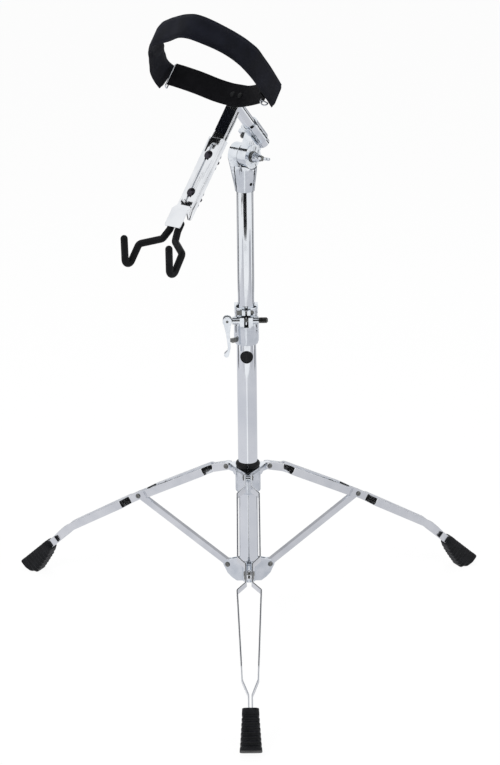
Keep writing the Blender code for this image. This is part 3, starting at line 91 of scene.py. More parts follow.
def startMaterial(name, inputs):
    # A material with one Principled shader and object coordinates
    material = bpy.data.materials.new(name)
    tree = bareTree(material)
    shader = addNode(tree, "ShaderNodeBsdfPrincipled", inputs=inputs)
    addNode(tree, "ShaderNodeOutputMaterial", links={"Surface": shader.outputs["BSDF"]})
    where = addNode(tree, "ShaderNodeTexCoord").outputs["Object"]
    return material, tree, shader, where


def addNoise(tree, where, size, detail, distortion=0.0):
    # Noise with clouds of about one size, in metres
    noise = addNode(tree, "ShaderNodeTexNoise",
                    inputs={"Scale": 1 / size, "Detail": detail, "Distortion": distortion},
                    links={"Vector": where})
    return noise.outputs["Fac"]


def setRamp(tree, shader, socket, source, low, high):
    # Drives a socket through a colour ramp, from and to a (place, hex or grey value) stop
    ramp = addNode(tree, "ShaderNodeValToRGB", links={"Fac": source})
    for element, (place, value) in zip(ramp.color_ramp.elements, (low, high)):
        element.position = place
        element.color = hexColour(value) if isinstance(value, str) else (value, value, value, 1)
    tree.links.new(ramp.outputs["Color"], shader.inputs[socket])


def setBump(tree, shader, height, strength, depth):
    bump = addNode(tree, "ShaderNodeBump", inputs={"Strength": strength, "Distance": depth},
                   links={"Height": height})
    tree.links.new(bump.outputs["Normal"], shader.inputs["Normal"])


# Materials

def makePlatedMetal(name, s):
    # Plated metal: a mirror with faint clouds, a haze where it is rubbed, and long low waves
    material, tree, shader, where = startMaterial(name, {"Metallic": 1.0})
    cloud = addNoise(tree, where, s["cloudSize"], 3.0)
    setRamp(tree, shader, "Base Color", cloud, (0.3, s["dull"]), (0.7, s["bright"]))
    rub = addNoise(tree, where, s["rubSize"], 4.0, 0.6)
    setRamp(tree, shader, "Roughness", rub, (0.35, s["smooth"]), (0.65, s["rough"]))
    setBump(tree, shader, addNoise(tree, where, s["waveSize"], 1.0), s["waveStrength"], s["waveDepth"])
    return material


def makeMouldedBlack(name, s):
    # Moulded black rubber, nylon or resin: fine grain, and a grey bloom in soft clouds
    material, tree, shader, where = startMaterial(name, {
        "IOR": 1.5, "Specular IOR Level": s["specular"]})
    bloom = addNoise(tree, where, s["bloomSize"], 5.0)
    setRamp(tree, shader, "Base Color", bloom, (0.35, s["dark"]), (0.75, s["pale"]))
    grain = addNoise(tree, where, s["grainSize"], 2.0)
    setRamp(tree, shader, "Roughness", grain, (0.3, s["smooth"]), (0.7, s["rough"]))
    setBump(tree, shader, grain, 0.5, s["grainDepth"])
    return material


def makeWovenCloth(name, s):
    # Plain weave nylon: two crossed thread waves on the piece's own UVs, which are in metres,
    # a soft sheen, and faint fading where the cloth is rubbed
    material, tree, shader, where = startMaterial(name, {
        "Roughness": s["rough"], "Sheen Weight": s["sheen"], "Sheen Roughness": 0.5,
        "Sheen Tint": hexColour(s["sheenColour"]), "Specular IOR Level": s["specular"]})
    flat = addNode(tree, "ShaderNodeUVMap", {"uv_map": "cloth"}).outputs["UV"]
    warp, weft = (addNode(tree, "ShaderNodeTexWave", {"bands_direction": direction},
                          inputs={"Scale": 0.1 * math.pi / s["threadPitch"],
                                  "Distortion": s["slub"], "Detail": 1.0},
                          links={"Vector": flat}).outputs["Fac"] for direction in ("X", "Y"))
    weave = addNode(tree, "ShaderNodeMath", {"operation": "MULTIPLY"}, links={0: warp, 1: weft})
    mixed = addNode(tree, "ShaderNodeMath", {"operation": "MULTIPLY_ADD"},
                    inputs={1: s["weaveShare"]},
                    links={0: weave.outputs[0], 2: addNoise(tree, where, s["fadeSize"], 4.0)})
    setRamp(tree, shader, "Base Color", mixed.outputs[0], (0.35, s["dark"]), (0.95, s["pale"]))
    setBump(tree, shader, weave.outputs[0], s["bump"], 0.4 * s["threadPitch"])
    return material


# Chromium over nickel on rolled tube: a clean blue-white mirror with long waves
chromeTube = makePlatedMetal("chrome plated tube", {
    "bright": "#eceff3", "dull": "#e0e4ea", "smooth": 0.05, "rough": 0.11, "cloudSize": 60 * mm,
    "rubSize": 14 * mm, "waveSize": 45 * mm, "waveStrength": 0.25, "waveDepth": 0.25 * mm})
# The same on hot-rolled strip: hazier, with shorter and deeper waves
chromeSheet = makePlatedMetal("chrome plated strip", {
    "bright": "#eceef1", "dull": "#dcdfe4", "smooth": 0.06, "rough": 0.14, "cloudSize": 30 * mm,
    "rubSize": 9 * mm, "waveSize": 16 * mm, "waveStrength": 0.6, "waveDepth": 0.5 * mm})
# The same on cold-rolled folded sheet: flat, so that it mirrors sharply
chromeFolded = makePlatedMetal("chrome plated folded sheet", {
    "bright": "#eceef1", "dull": "#dcdfe4", "smooth": 0.015, "rough": 0.03, "cloudSize": 30 * mm,
    "rubSize": 9 * mm, "waveSize": 12 * mm, "waveStrength": 0.3, "waveDepth": 0.012 * mm})
# The same on die-cast zinc: soft small waves and a duller shine
chromeCasting = makePlatedMetal("chrome plated zinc casting", {
    "bright": "#e6eaef", "dull": "#d2d8df", "smooth": 0.07, "rough": 0.17, "cloudSize": 14 * mm,
    "rubSize": 6 * mm, "waveSize": 6 * mm, "waveStrength": 0.7, "waveDepth": 0.3 * mm})
# Zinc plated fasteners: satin grey
zincSteel = makePlatedMetal("zinc plated steel", {
    "bright": "#8f8f8c", "dull": "#6f706e", "smooth": 0.25, "rough": 0.45, "cloudSize": 5 * mm,
    "rubSize": 2 * mm, "waveSize": 1.5 * mm, "waveStrength": 0.3, "waveDepth": 0.1 * mm})
# Blackened bolts: dark violet-grey with a satin shine
blackSteel = makePlatedMetal("blackened bolt steel", {
    "bright": "#4d4a52", "dull": "#2f2d33", "smooth": 0.22, "rough": 0.4, "cloudSize": 4 * mm,
    "rubSize": 2 * mm, "waveSize": 2 * mm, "waveStrength": 0.3, "waveDepth": 0.1 * mm})
# Moulded rubber and the extruded sleeve are matt, nylon is satin, and the domed resin is glossy
rubber = makeMouldedBlack("moulded rubber", {
    "dark": "#08090b", "pale": "#131417", "smooth": 0.36, "rough": 0.52, "specular": 0.2,
    "bloomSize": 12 * mm, "grainSize": 0.9 * mm, "grainDepth": 0.12 * mm})
hookRubber = makeMouldedBlack("extruded rubber sleeve", {
    "dark": "#070809", "pale": "#101114", "smooth": 0.38, "rough": 0.55, "specular": 0.14,
    "bloomSize": 20 * mm, "grainSize": 1.2 * mm, "grainDepth": 0.08 * mm})
nylon = makeMouldedBlack("moulded nylon", {
    "dark": "#08090a", "pale": "#101113", "smooth": 0.3, "rough": 0.42, "specular": 0.18,
    "bloomSize": 10 * mm, "grainSize": 0.7 * mm, "grainDepth": 0.05 * mm})
blackEnamel = makeMouldedBlack("domed black resin", {
    "dark": "#08090b", "pale": "#0d0e11", "smooth": 0.12, "rough": 0.2, "specular": 0.25,
    "bloomSize": 8 * mm, "grainSize": 3 * mm, "grainDepth": 0.02 * mm})
# Pack cloth is fine and blue-black, webbing coarse and flat black; the threads are drawn coarse to show
padCloth = makeWovenCloth("nylon pack cloth", {
    "dark": "#07080d", "pale": "#12141d", "rough": 0.72, "sheen": 0.03, "sheenColour": "#5a6178",
    "specular": 0.12, "threadPitch": 0.9 * mm, "slub": 0.4, "fadeSize": 25 * mm,
    "weaveShare": 0.35, "bump": 0.35})
webCloth = makeWovenCloth("polypropylene webbing", {
    "dark": "#050507", "pale": "#0e0e11", "rough": 0.68, "sheen": 0.02, "sheenColour": "#505257",
    "specular": 0.1, "threadPitch": 1.5 * mm, "slub": 0.2, "fadeSize": 18 * mm,
    "weaveShare": 0.45, "bump": 0.6})
print("materials made")


# Making of surfaces

nodeBodies = {node: body for body, nodes in frame["record"]["behaviour"]["bodies"].items()
              for node in nodes}


def fitPiece(name, mesh, material, node):
    # A piece that stands for one CAD node and rides on its body
    mesh.materials.clear()
    mesh.materials.append(material)
    piece = addObject(name, mesh)
    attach(piece, nodeBodies[node])
    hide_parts(node)
    return piece


def addPiece(node, ending, shells, material, sharp=35.0, uvs=None):
    # Puts shells into a mesh, merges seams and poles, points the faces outwards, and keeps edges
    # above sharp degrees crisp
    vertices, faces = joinShells(shells)
    mesh = bpy.data.meshes.new(node + ending)
    mesh.from_pydata(vertices.tolist(), [], faces)
    if uvs is not None:
        layer = mesh.uv_layers.new(name="cloth")
        corners = np.empty(len(mesh.loops), dtype=np.int32)
        mesh.loops.foreach_get("vertex_index", corners)
        layer.data.foreach_set("uv", uvs[corners].astype(np.float32).ravel())
    shape = bmesh.new()
    shape.from_mesh(mesh)
    bmesh.ops.remove_doubles(shape, verts=shape.verts, dist=0.002 * mm)
    bmesh.ops.recalc_face_normals(shape, faces=shape.faces)
    shape.to_mesh(mesh)
    shape.free()
    mesh.shade_smooth()
    mesh.set_sharp_from_angle(angle=sharp * deg)
    return fitPiece(node + ending, mesh, material, node)


def gridFaces(rows, columns, closedRows=False, start=0):
    # Quads between neighbouring rows of a grid whose columns run right round
    r = np.arange(rows if closedRows else rows - 1)
    c = np.arange(columns)
    a = (r[:, None] * columns + c[None, :]).ravel()
    b = (r[:, None] * columns + (c[None, :] + 1) % columns).ravel()
    down = ((r[:, None] + 1) % rows * columns + c[None, :]).ravel()
    across = ((r[:, None] + 1) % rows * columns + (c[None, :] + 1) % columns).ravel()
    return (np.stack([a, b, across, down], axis=1) + start).tolist()


def joinShells(shells):
    # Several closed shells in one piece: each is a grid, with flat ends unless its rows close
    points = []
    faces = []
    count = 0
    for grid, closedRows in shells:
        rows, columns = grid.shape[:2]
        points.append(grid.reshape(-1, 3))
        faces += gridFaces(rows, columns, closedRows, count)
        if not closedRows:
            faces.append(list(range(count, count + columns))[::-1])
            faces.append(list(range(count + (rows - 1) * columns, count + rows * columns)))
        count += rows * columns
    return np.concatenate(points), faces


def unit(vector):
    vector = np.asarray(vector, dtype=float)
    return vector / np.linalg.norm(vector)


def unitRows(vectors):
    return vectors / np.linalg.norm(vectors, axis=1, keepdims=True)


def placeAt(origin, xAxis, zAxis):
    # A place: rows are the X, Y and Z directions, then the origin
    x = unit(xAxis)
    z = unit(np.asarray(zAxis, dtype=float) - np.dot(zAxis, x) * x)
    return np.stack([x, np.cross(z, x), z]), np.asarray(origin, dtype=float)


def moved(points, place):
    axes, origin = place
    return points @ axes + origin


def arcPoints(centre, radius, start, end, steps):
    # Points on an arc, from start to end in degrees
    angles = np.linspace(start, end, steps) * deg
    return np.stack([centre[0] + radius * np.cos(angles), centre[1] + radius * np.sin(angles)], 1)


def turnedGrid(profile, sides=96, wobble=None):
    # A profile of (radius, height) turned about Z: x = r cos a, y = r sin a
    profile = np.asarray(profile, dtype=float)
    angles = np.arange(sides) / sides * 2 * math.pi
    radius = profile[:, :1] * np.ones(sides)
    if wobble is not None:
        radius = radius + wobble(profile[:, 1:], angles[None, :])
    height = profile[:, 1:] * np.ones(sides)
    return np.stack([radius * np.cos(angles), radius * np.sin(angles), height], axis=2)


def smoothCurve(points, count):
    # Catmull-Rom curve through the points, read again at equal lengths
    p = np.asarray(points, dtype=float)
    p = np.concatenate([[2 * p[0] - p[1]], p, [2 * p[-1] - p[-2]]])
    t = np.linspace(0, 1, 16, endpoint=False)[None, :, None]
    a, b, c, d = (p[k:len(p) - 3 + k, None, :] for k in range(4))
    curve = 0.5 * (2 * b + (c - a) * t + (2 * a - 5 * b + 4 * c - d) * t ** 2
                   + (3 * b - a - 3 * c + d) * t ** 3)
    curve = np.concatenate([curve.reshape(-1, p.shape[1]), p[-2:-1]])
    return evenCurve(curve, count)


def evenCurve(curve, count):
    lengths = np.concatenate([[0], np.cumsum(np.linalg.norm(np.diff(curve, axis=0), axis=1))])
    even = np.linspace(0, lengths[-1], count)
    return np.stack([np.interp(even, lengths, column) for column in curve.T], axis=1)


def bentRoute(points, bendRadius, count):
    # Straight runs joined by arcs of one bend radius, read at equal lengths
    points = np.asarray(points, dtype=float)
    route = [points[:1]]
    for before, corner, after in zip(points, points[1:], points[2:]):
        back, ahead = unit(before - corner), unit(after - corner)
        half = math.acos(np.clip(back @ ahead, -1, 1)) / 2
        reach = min(bendRadius / math.tan(half), 0.48 * np.linalg.norm(before - corner),
                    0.48 * np.linalg.norm(after - corner))
        bend = reach * math.tan(half)
        centre = corner + unit(back + ahead) * bend / math.sin(half)
        first, last = unit(corner + back * reach - centre), unit(corner + ahead * reach - centre)
        span = math.acos(np.clip(first @ last, -1, 1))
        t = np.linspace(0, 1, 17)[:, None]
        swing = (np.sin((1 - t) * span) * first + np.sin(t * span) * last) / math.sin(span)
        route.append(centre + swing * bend)
    route.append(points[-1:])
    return evenCurve(np.concatenate(route), count)


def carriedFrames(path, closed=False):
    # Tangents and two square directions along a path, each turned as little as possible
    ahead = np.roll(path, -1, axis=0) - np.roll(path, 1, axis=0)
    if not closed:
        ahead[0] = path[1] - path[0]
        ahead[-1] = path[-1] - path[-2]
    ahead = unitRows(ahead)
    side = np.zeros_like(path)
    start = np.cross(ahead[0], (0.0, 0.0, 1.0))
    if np.linalg.norm(start) < 0.2:
        start = np.cross(ahead[0], (0.0, 1.0, 0.0))
    side[0] = unit(start)
    for k in range(1, len(path)):
        side[k] = unit(side[k - 1] - (side[k - 1] @ ahead[k]) * ahead[k])
    return ahead, side, np.cross(ahead, side)


def roundRod(path, radius, sides=24, closed=False):
    # A round section carried along an even path: ring = centre + r (side cos a + up sin a);
    # an open rod ends in half spheres, where the ring is r sin t wide and r (1 - cos t) in
    ahead, side, up = carriedFrames(path, closed)
    size = np.full(len(path), radius)
    if not closed:
        turn = np.linspace(0, 90, 9) * deg
        inset = (radius * (1 - np.cos(turn)))[:, None]
        along = np.linalg.norm(np.diff(path, axis=0), axis=1).sum() * np.linspace(0, 1, len(path))
        kept = (along > 1.02 * radius) & (along < along[-1] - 1.02 * radius)
        size = np.concatenate([radius * np.sin(turn), size[kept], radius * np.sin(turn[::-1])])
        path = np.concatenate([path[0] + ahead[0] * inset, path[kept],
                               path[-1] - ahead[-1] * inset[::-1]])
        side, up = (np.concatenate([np.repeat(d[:1], 9, 0), d[kept], np.repeat(d[-1:], 9, 0)])
                    for d in (side, up))
    angles = (np.arange(sides) / sides * 2 * math.pi)[None, :, None]
    ring = side[:, None, :] * np.cos(angles) + up[:, None, :] * np.sin(angles)
    return path[:, None, :] + size[:, None, None] * ring


def carriedSection(path, across, through, section):
    # A flat section (across, through) carried along a path with its own directions at each point
    return (path[:, None, :] + across[:, None, :] * section[..., 0][..., None]
            + through[:, None, :] * section[..., 1][..., None])


def roundedBox(width, height, corner, steps=4):
    # Outline of a rounded rectangle, run round its four corner arcs
    points = []
    for sx, sy, start in ((1, 1, 0), (-1, 1, 90), (-1, -1, 180), (1, -1, 270)):
        centre = (sx * (width / 2 - corner), sy * (height / 2 - corner))
        points.append(arcPoints(centre, corner, start, start + 90, steps))
    return np.concatenate(points)


roundedAbove = 32.0 * deg


def roundedCopy(name, material, edge, steps=2, joined=True):
    # A CAD solid with its flat triangles joined, its edges rounded and its round faces smooth
    mesh = frame["nodes"][name].data.copy()
    mesh.name = name + "Round"
    shape = bmesh.new()
    shape.from_mesh(mesh)
    bmesh.ops.remove_doubles(shape, verts=shape.verts, dist=0.01 * mm)
    if joined:
        bmesh.ops.dissolve_limit(shape, angle_limit=0.6 * deg, verts=shape.verts, edges=shape.edges)
    shape.to_mesh(mesh)
    shape.free()
    mesh.shade_smooth()
    piece = fitPiece(name + "Round", mesh, material, name)
    rounding = piece.modifiers.new("edge radius", "BEVEL")
    rounding.width = edge
    rounding.segments = steps
    rounding.limit_method = "ANGLE"
    rounding.angle_limit = roundedAbove
    shading = piece.modifiers.new("flat faces stay flat", "WEIGHTED_NORMAL")
    shading.weight = 100


# Places from the frame

def nodeBox(name):
    return [np.array(corner, dtype=float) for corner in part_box(name)]


def jointPlace(name):
    return np.array(joints[name]["pos_m"])


tubeLow, tubeHigh = nodeBox("lower_tube")
tubeRadius = (tubeHigh[0] - tubeLow[0]) / 2
standPoint = np.array([0.0, (tubeLow[1] + tubeHigh[1]) / 2, 0.0])
tiltPoint = jointPlace("tilt")
tiltAxis = unit(joints["tilt"]["axis"])
tiltBack = np.cross((0, 0, 1), tiltAxis)
upwards = np.array([0.0, 0.0, 1.0])


# Tubes and badge

def makeTube(name, settings):
    # A rolled tube: its wall profile, with both lips rounded, turned about the tube's axis
    low, high = nodeBox(name)
    outer = (high[0] - low[0]) / 2
    inner = outer - settings["wall"]
    lip = settings["lip"]
    bottom, top = low[2], high[2]
    rims = [((outer - lip, top - lip), 0), ((inner + lip, top - lip), 90),
            ((inner + lip, bottom + lip), 180), ((outer - lip, bottom + lip), 270)]
    profile = np.concatenate([arcPoints(centre, lip, start, start + 90, 5) for centre, start in rims])
    grid = turnedGrid(profile, 128) + standPoint
    addPiece(name, "Rolled", [(grid, True)], chromeTube)


for tubeName, tubeSettings in {"lower_tube": {"wall": 1.5 * mm, "lip": 0.45 * mm},
                               "upper_tube": {"wall": 1.5 * mm, "lip": 0.4 * mm}}.items():
    makeTube(tubeName, tubeSettings)

badgeSettings = {"rim": 0.9 * mm, "rimHeight": 1.3 * mm, "rimWall": 0.8, "domeHeight": 1.25 * mm,
                 "domePower": 0.6, "groove": 0.85 * mm, "grooveEdges": (1.3, 1.5), "seat": 0.3 * mm}


def makeBadge(settings):
    # A bare domed disc wrapped on the tube: y = -sqrt((R + t)^2 - x^2) with thickness t(rho)
    low, high = nodeBox("badge")
    radius = (high[2] - low[2]) / 2
    rim, wall, groove = settings["rim"], settings["rimWall"], settings["groove"]
    outerEdge, innerEdge = settings["grooveEdges"]
    rings = [(0, 0), (0.5 * radius, 0), (radius, 0), (radius, wall * settings["rimHeight"])]
    rings += [(radius - rim / 2 + rim / 2 * math.cos(t * deg),
               settings["rimHeight"] * (wall + (1 - wall) * math.sin(t * deg)))
              for t in (30, 60, 90, 120, 150)]
    rings += [(radius - rim, groove), (radius - outerEdge * rim, groove)]
    rings += [((radius - innerEdge * rim) * math.cos(t * deg),
               groove + (settings["domeHeight"] - groove) * math.sin(t * deg) ** settings["domePower"])
              for t in np.linspace(4, 90, 14)]
    rings = np.array(rings)
    angles = np.arange(96) / 96 * 2 * math.pi
    x = rings[:, :1] * np.cos(angles)
    z = rings[:, :1] * np.sin(angles) + (low[2] + high[2]) / 2
    reach = tubeRadius + settings["seat"] + rings[:, 1:]
    y = standPoint[1] - np.sqrt(reach ** 2 - x ** 2)
    addPiece("badge", "Disc", [(np.stack([x, y, z], axis=2), False)], blackEnamel)


makeBadge(badgeSettings)
print("tubes and badge made")


# Legs

legSettings = {
    "stripHeight": 12.5 * mm, "stripThickness": 2.4 * mm, "stripCorner": 0.55 * mm,
    "innerGap": 7.4 * mm, "crest": (33.0 * mm, 5.1 * mm), "knee": (344.3 * mm, -12.7 * mm),
    "entry": (401.3 * mm, -29.9 * mm), "tongue": 30.0 * mm, "upperBulge": 33.4 * mm,
    "lowerBulge": 35.4 * mm, "ankleSpread": 23.2 * mm, "tongueSpread": 5.2 * mm,
    "jog": 13.0 * mm, "upperJog": 32.5 * mm, "innerJog": -20.5 * mm, "outerJog": 25.0 * mm,
    "closedRun": 16.3 * mm, "closingRun": 21.6 * mm, "bendSoft": 3.0 * mm, "kneeSoft": 5.0 * mm,
    "step": 0.8 * mm}

collarPoint = jointPlace("collar_hinge")
apexPoint = jointPlace("leg_front_hinge")
pivotRadius = standPoint[1] - collarPoint[1]
linkRun = np.array([collarPoint[1] - apexPoint[1], apexPoint[2] - collarPoint[2]])
linkLength = np.linalg.norm(linkRun)
linkAhead = linkRun / linkLength                       # (out, up) from collar to apex
linkSquare = np.array([-linkAhead[1], linkAhead[0]])


def legPlace(azimuth):
    # Leg frame: X out from the tube, Y across the leg, Z up, origin under the stand's axis
    return placeAt(standPoint, (math.cos(azimuth), math.sin(azimuth), 0), upwards)


def legPoints(along, rise):
    # Points of the leg's middle plane, along and square to the collar-to-apex line
    flat = along[:, None] * linkAhead + rise[:, None] * linkSquare
    return np.stack([pivotRadius + flat[:, 0], np.zeros(len(flat)), collarPoint[2] + flat[:, 1]], 1)


def softened(values, window):
    # Running mean with held ends, which rounds the corners of a folded line
    window = max(int(window) | 1, 3)
    padded = np.concatenate([np.full(window, values[0]), values, np.full(window, values[-1])])
    mean = np.convolve(padded, np.ones(window) / window, mode="same")
    return mean[window:-window]


def makeStrips(name, azimuth, s):
    # Two folded strips: a rounded flat section carried along the bends, height square to the run
    end = s["stripHeight"] / 2
    tongueAhead = unit(np.subtract(s["entry"], s["knee"])) * s["tongue"]
    bends = np.array([(-end, 0.0), (0.0, 0.0), s["crest"], (linkLength, 0.0), s["knee"], s["entry"],
                      np.add(s["entry"], tongueAhead)])
    along = np.arange(-end, bends[-1, 0], s["step"])
    rise = softened(np.interp(along, bends[:, 0], bends[:, 1]), s["kneeSoft"] / s["step"])
    centre = s["innerGap"] / 2 + s["stripThickness"] / 2
    half = s["jog"] / 2
    inner = linkLength + s["innerJog"]
    outer = linkLength + s["outerJog"]
    closed = s["entry"][0] - s["closedRun"]
    stops = [(-end, centre), (s["upperJog"] - half, centre), (s["upperJog"] + half, s["upperBulge"] / 2),
             (inner - half, s["upperBulge"] / 2), (inner + half, centre), (outer - half, centre),
             (outer + half, s["lowerBulge"] / 2), (closed - s["closingRun"], s["ankleSpread"] / 2),
             (closed, s["tongueSpread"] / 2), (along[-1], s["tongueSpread"] / 2)]
    offset = softened(np.interp(along, *np.array(stops).T), s["bendSoft"] / s["step"])
    middle = legPoints(along, rise)
    outline = roundedBox(s["stripHeight"], s["stripThickness"], s["stripCorner"])
    reach = np.sqrt(np.clip(end ** 2 - np.minimum(along, 0) ** 2, 1e-10, None)) / end
    for label, side in (("a", -1), ("b", 1)):
        path = middle + np.array([0, 1, 0]) * (side * offset)[:, None]
        ahead = np.gradient(path, axis=0)
        flatAhead = ahead * (1, 0, 1)
        up = unitRows(np.stack([-flatAhead[:, 2], np.zeros(len(path)), flatAhead[:, 0]], 1))
        through = np.cross(unitRows(ahead), up)
        section = np.broadcast_to(outline, (len(path), *outline.shape)).copy()
        section[..., 0] *= reach[:, None]
        grid = moved(carriedSection(path, up, through, section), legPlace(azimuth))
        addPiece("leg_strip_%s_%s" % (name, label), "_folded", [(grid, False)], chromeSheet,
                 50.0)


rivetSettings = {"headRadius": 4.1 * mm, "headHeight": 1.7 * mm, "headRound": 1.3 * mm,
                 "shank": 2.4 * mm, "dimple": 1.5 * mm, "dimpleDepth": 0.7 * mm, "dimpleLip": 0.3 * mm,
                 "dimpleEdge": 0.2 * mm}


def makeRivets(name, azimuth, s):
    # Tubular rivets: a rolled head with a dimple at each end of a round shank
    across = (-math.sin(azimuth), math.cos(azimuth), 0)
    for kind in ("bracket_pin_", "apex_pin_", "collar_pin_"):
        frontLow, frontHigh = nodeBox(kind + "front")
        top = (frontHigh[0] - frontLow[0]) / 2
        low, high = nodeBox(kind + name)
        under = top - s["headHeight"]
        floor = top - s["dimpleDepth"]
        crown = arcPoints((0, 0), 1.0, 0, 90, 6) * (s["headRound"], s["headHeight"])
        crown += (s["headRadius"] - s["headRound"], under)
        half = np.concatenate([[(s["shank"], 0), (s["shank"], under)], crown,
                               [(s["dimple"] + s["dimpleLip"], top), (s["dimple"], top - s["dimpleEdge"]),
                                (s["dimple"] - s["dimpleEdge"], floor), (0, floor)]])
        profile = np.concatenate([(half * (1, -1))[::-1], half])
        grid = moved(turnedGrid(profile, 40), placeAt((low + high) / 2, upwards, across))
        addPiece(kind + name, "_rolled", [(grid, False)], zincSteel, 40.0)


# Side view of the foot in mm: "lower" and "upper" along and square to the strip, "sole" as (x, z)
footSettings = {
    "lower": [(2, -8), (9, -11.5), (16, -14.4), (38, -19.5)],
    "sole": [(23.2, 0), (34.2, 0), (44.2, 5), (51.2, 11)],
    "upper": [(0, 9), (30, 9.8), (66.2, 10.7)],
    "topHalf": 12.0 * mm, "toeHalf": 16.2 * mm, "start": 1.5 * mm, "toeGap": 0.2 * mm,
    "thinnest": 1.2 * mm, "endRound": 1.6 * mm, "squareness": 0.38,
    "ribs": 7, "ribDepth": 2.2 * mm, "ribSlope": 3.2, "firstRib": 9.0 * mm, "lastRib": 6.0 * mm,
    "sideShare": 0.4, "soleShare": 0.45}


def footGrid(s):
    # Ribbed boot: a rounded section along the strip, (cos a)^p by (sin a)^p, its size read from the
    # edges of its side view, with grooves clip(1.5 - slope |phase - 0.5|) that are deepest on top
    # and fade out round the corners
    entry = legPoints(*(np.array([v]) for v in s["entry"]))[0]
    knee = legPoints(*(np.array([v]) for v in s["knee"]))[0]
    run = unit(entry - knee)
    square = np.array([-run[2], 0, run[0]])
    lower = [run * (a * mm) + square * (b * mm) for a, b in s["lower"]]
    lower = np.array(lower + [(x * mm, 0, z * mm - entry[2]) for x, z in s["sole"]])
    upper = np.array([run * (a * mm) + square * (b * mm) for a, b in s["upper"]])
    end = upper[-1] @ run - s["toeGap"]
    share = np.linspace(0, 1, 320)
    along = s["start"] + (end - s["start"]) * share
    low = np.interp(along, lower @ run, lower @ square)
    high = np.maximum(np.interp(along, upper @ run, upper @ square), low + s["thinnest"])
    first, last = s["start"] + s["firstRib"], end - s["lastRib"]
    phase = (along - first) / (last - first) * s["ribs"] % 1
    ribbed = (along > first) & (along < last)
    groove = np.where(ribbed, np.clip(1.5 - s["ribSlope"] * np.abs(phase - 0.5), 0, 1), 0)
    groove = softened(groove, 5)[:, None] * s["ribDepth"]
    nearEnd = np.clip(np.minimum(along - s["start"], end - along) / s["endRound"], 0, 1)
    ends = np.sqrt(np.clip(1 - (1 - nearEnd) ** 2, 0.0004, 1))[:, None]
    angles = (np.arange(96) / 96 * 2 * math.pi)[None, :]
    wide = np.sign(np.cos(angles)) * np.abs(np.cos(angles)) ** s["squareness"]
    tall = np.sign(np.sin(angles)) * np.abs(np.sin(angles)) ** s["squareness"]
    onTop = (np.clip(np.sin(angles) * 3 + 0.2, 0, 1)
             + s["soleShare"] * np.clip(-np.sin(angles) * 3 + 0.2, 0, 1))
    onSide = np.clip(np.abs(np.cos(angles)) * 2.2 - 0.7, 0, 1) * s["sideShare"]
    half = (s["topHalf"] + (s["toeHalf"] - s["topHalf"]) * share)[:, None]
    across = wide * (half * ends - groove * onSide)
    rise = ((low + high) / 2)[:, None] + tall * (((high - low) / 2)[:, None] * ends - groove * onTop)
    return (entry + run * along[:, None, None] + square * rise[..., None]
            + np.array([0, 1, 0]) * across[..., None])


for legName, legAzimuth in legAzimuths.items():
    makeStrips(legName, legAzimuth, legSettings)
    makeRivets(legName, legAzimuth, rivetSettings)
    footPoints = moved(footGrid({**legSettings, **footSettings}), legPlace(legAzimuth))
    addPiece("foot_" + legName, "_moulded", [(footPoints, False)], rubber, 60.0)
    roundedCopy("brace_" + legName, chromeSheet, 0.5 * mm)
print("legs made")


# Castings, bolts and folded sheet, kept in their CAD shape with rounded edges

for castingName, edgeRadius in {"tripod_bracket": 0.6, "collar_hub": 0.7, "clamp_body": 0.7,
                                "memory_lock": 0.6, "tilter_base": 0.8, "tilter_head": 0.8,
                                "cam_lever": 0.8}.items():
    roundedCopy(castingName, chromeCasting, edgeRadius * mm, 3)
for sheetName in ("holder_bar", "slide_channel"):
    roundedCopy(sheetName, chromeFolded, 0.6 * mm, 3)
roundedCopy("arm_tube", chromeTube, 0.4 * mm, 3)
for boltName in ("clamp_bolt", "cam_pin", "clamp_set_screw", "memory_key_bolt", "tilter_bolt",
                 "tilter_washer", "sleeve_key_bolt"):
    roundedCopy(boltName, zincSteel, 0.3 * mm)
for boltName in ("holder_bolt_upper", "holder_bolt_lower"):
    roundedCopy(boltName, blackSteel, 0.3 * mm, joined=False)
for bushName in ("collar_bush", "clamp_bush", "upper_tube_plug", "tilter_set_screw"):
    roundedCopy(bushName, nylon, 0.4 * mm, joined=bushName != "collar_bush")
print("castings and bolts made")


# Wing nuts and the knurled thumb nut

def nodePoints(name):
    # Corner points of a CAD node, from its mesh
    mesh = frame["nodes"][name].data
    flat = np.empty(3 * len(mesh.vertices), dtype=np.float32)
    mesh.vertices.foreach_get("co", flat)
    return flat.reshape(-1, 3).astype(float)


def spinPlace(name, joint):
    # Place on a spin axis: Z along it away from the work, X towards the widest part of the node,
    # with the node's lowest and highest point and its widest radius there
    origin = jointPlace(joint)
    axis = unit(joints[joint]["axis"])
    points = nodePoints(name) - origin
    if (points @ axis).mean() < 0:
        axis = -axis
    height = points @ axis
    level = points - np.outer(height, axis)
    directions = np.linalg.eigh(level.T @ level)[1]
    radius = np.linalg.norm(level, axis=1).max()
    return placeAt(origin, directions[:, 2], axis), height.min(), height.max(), radius


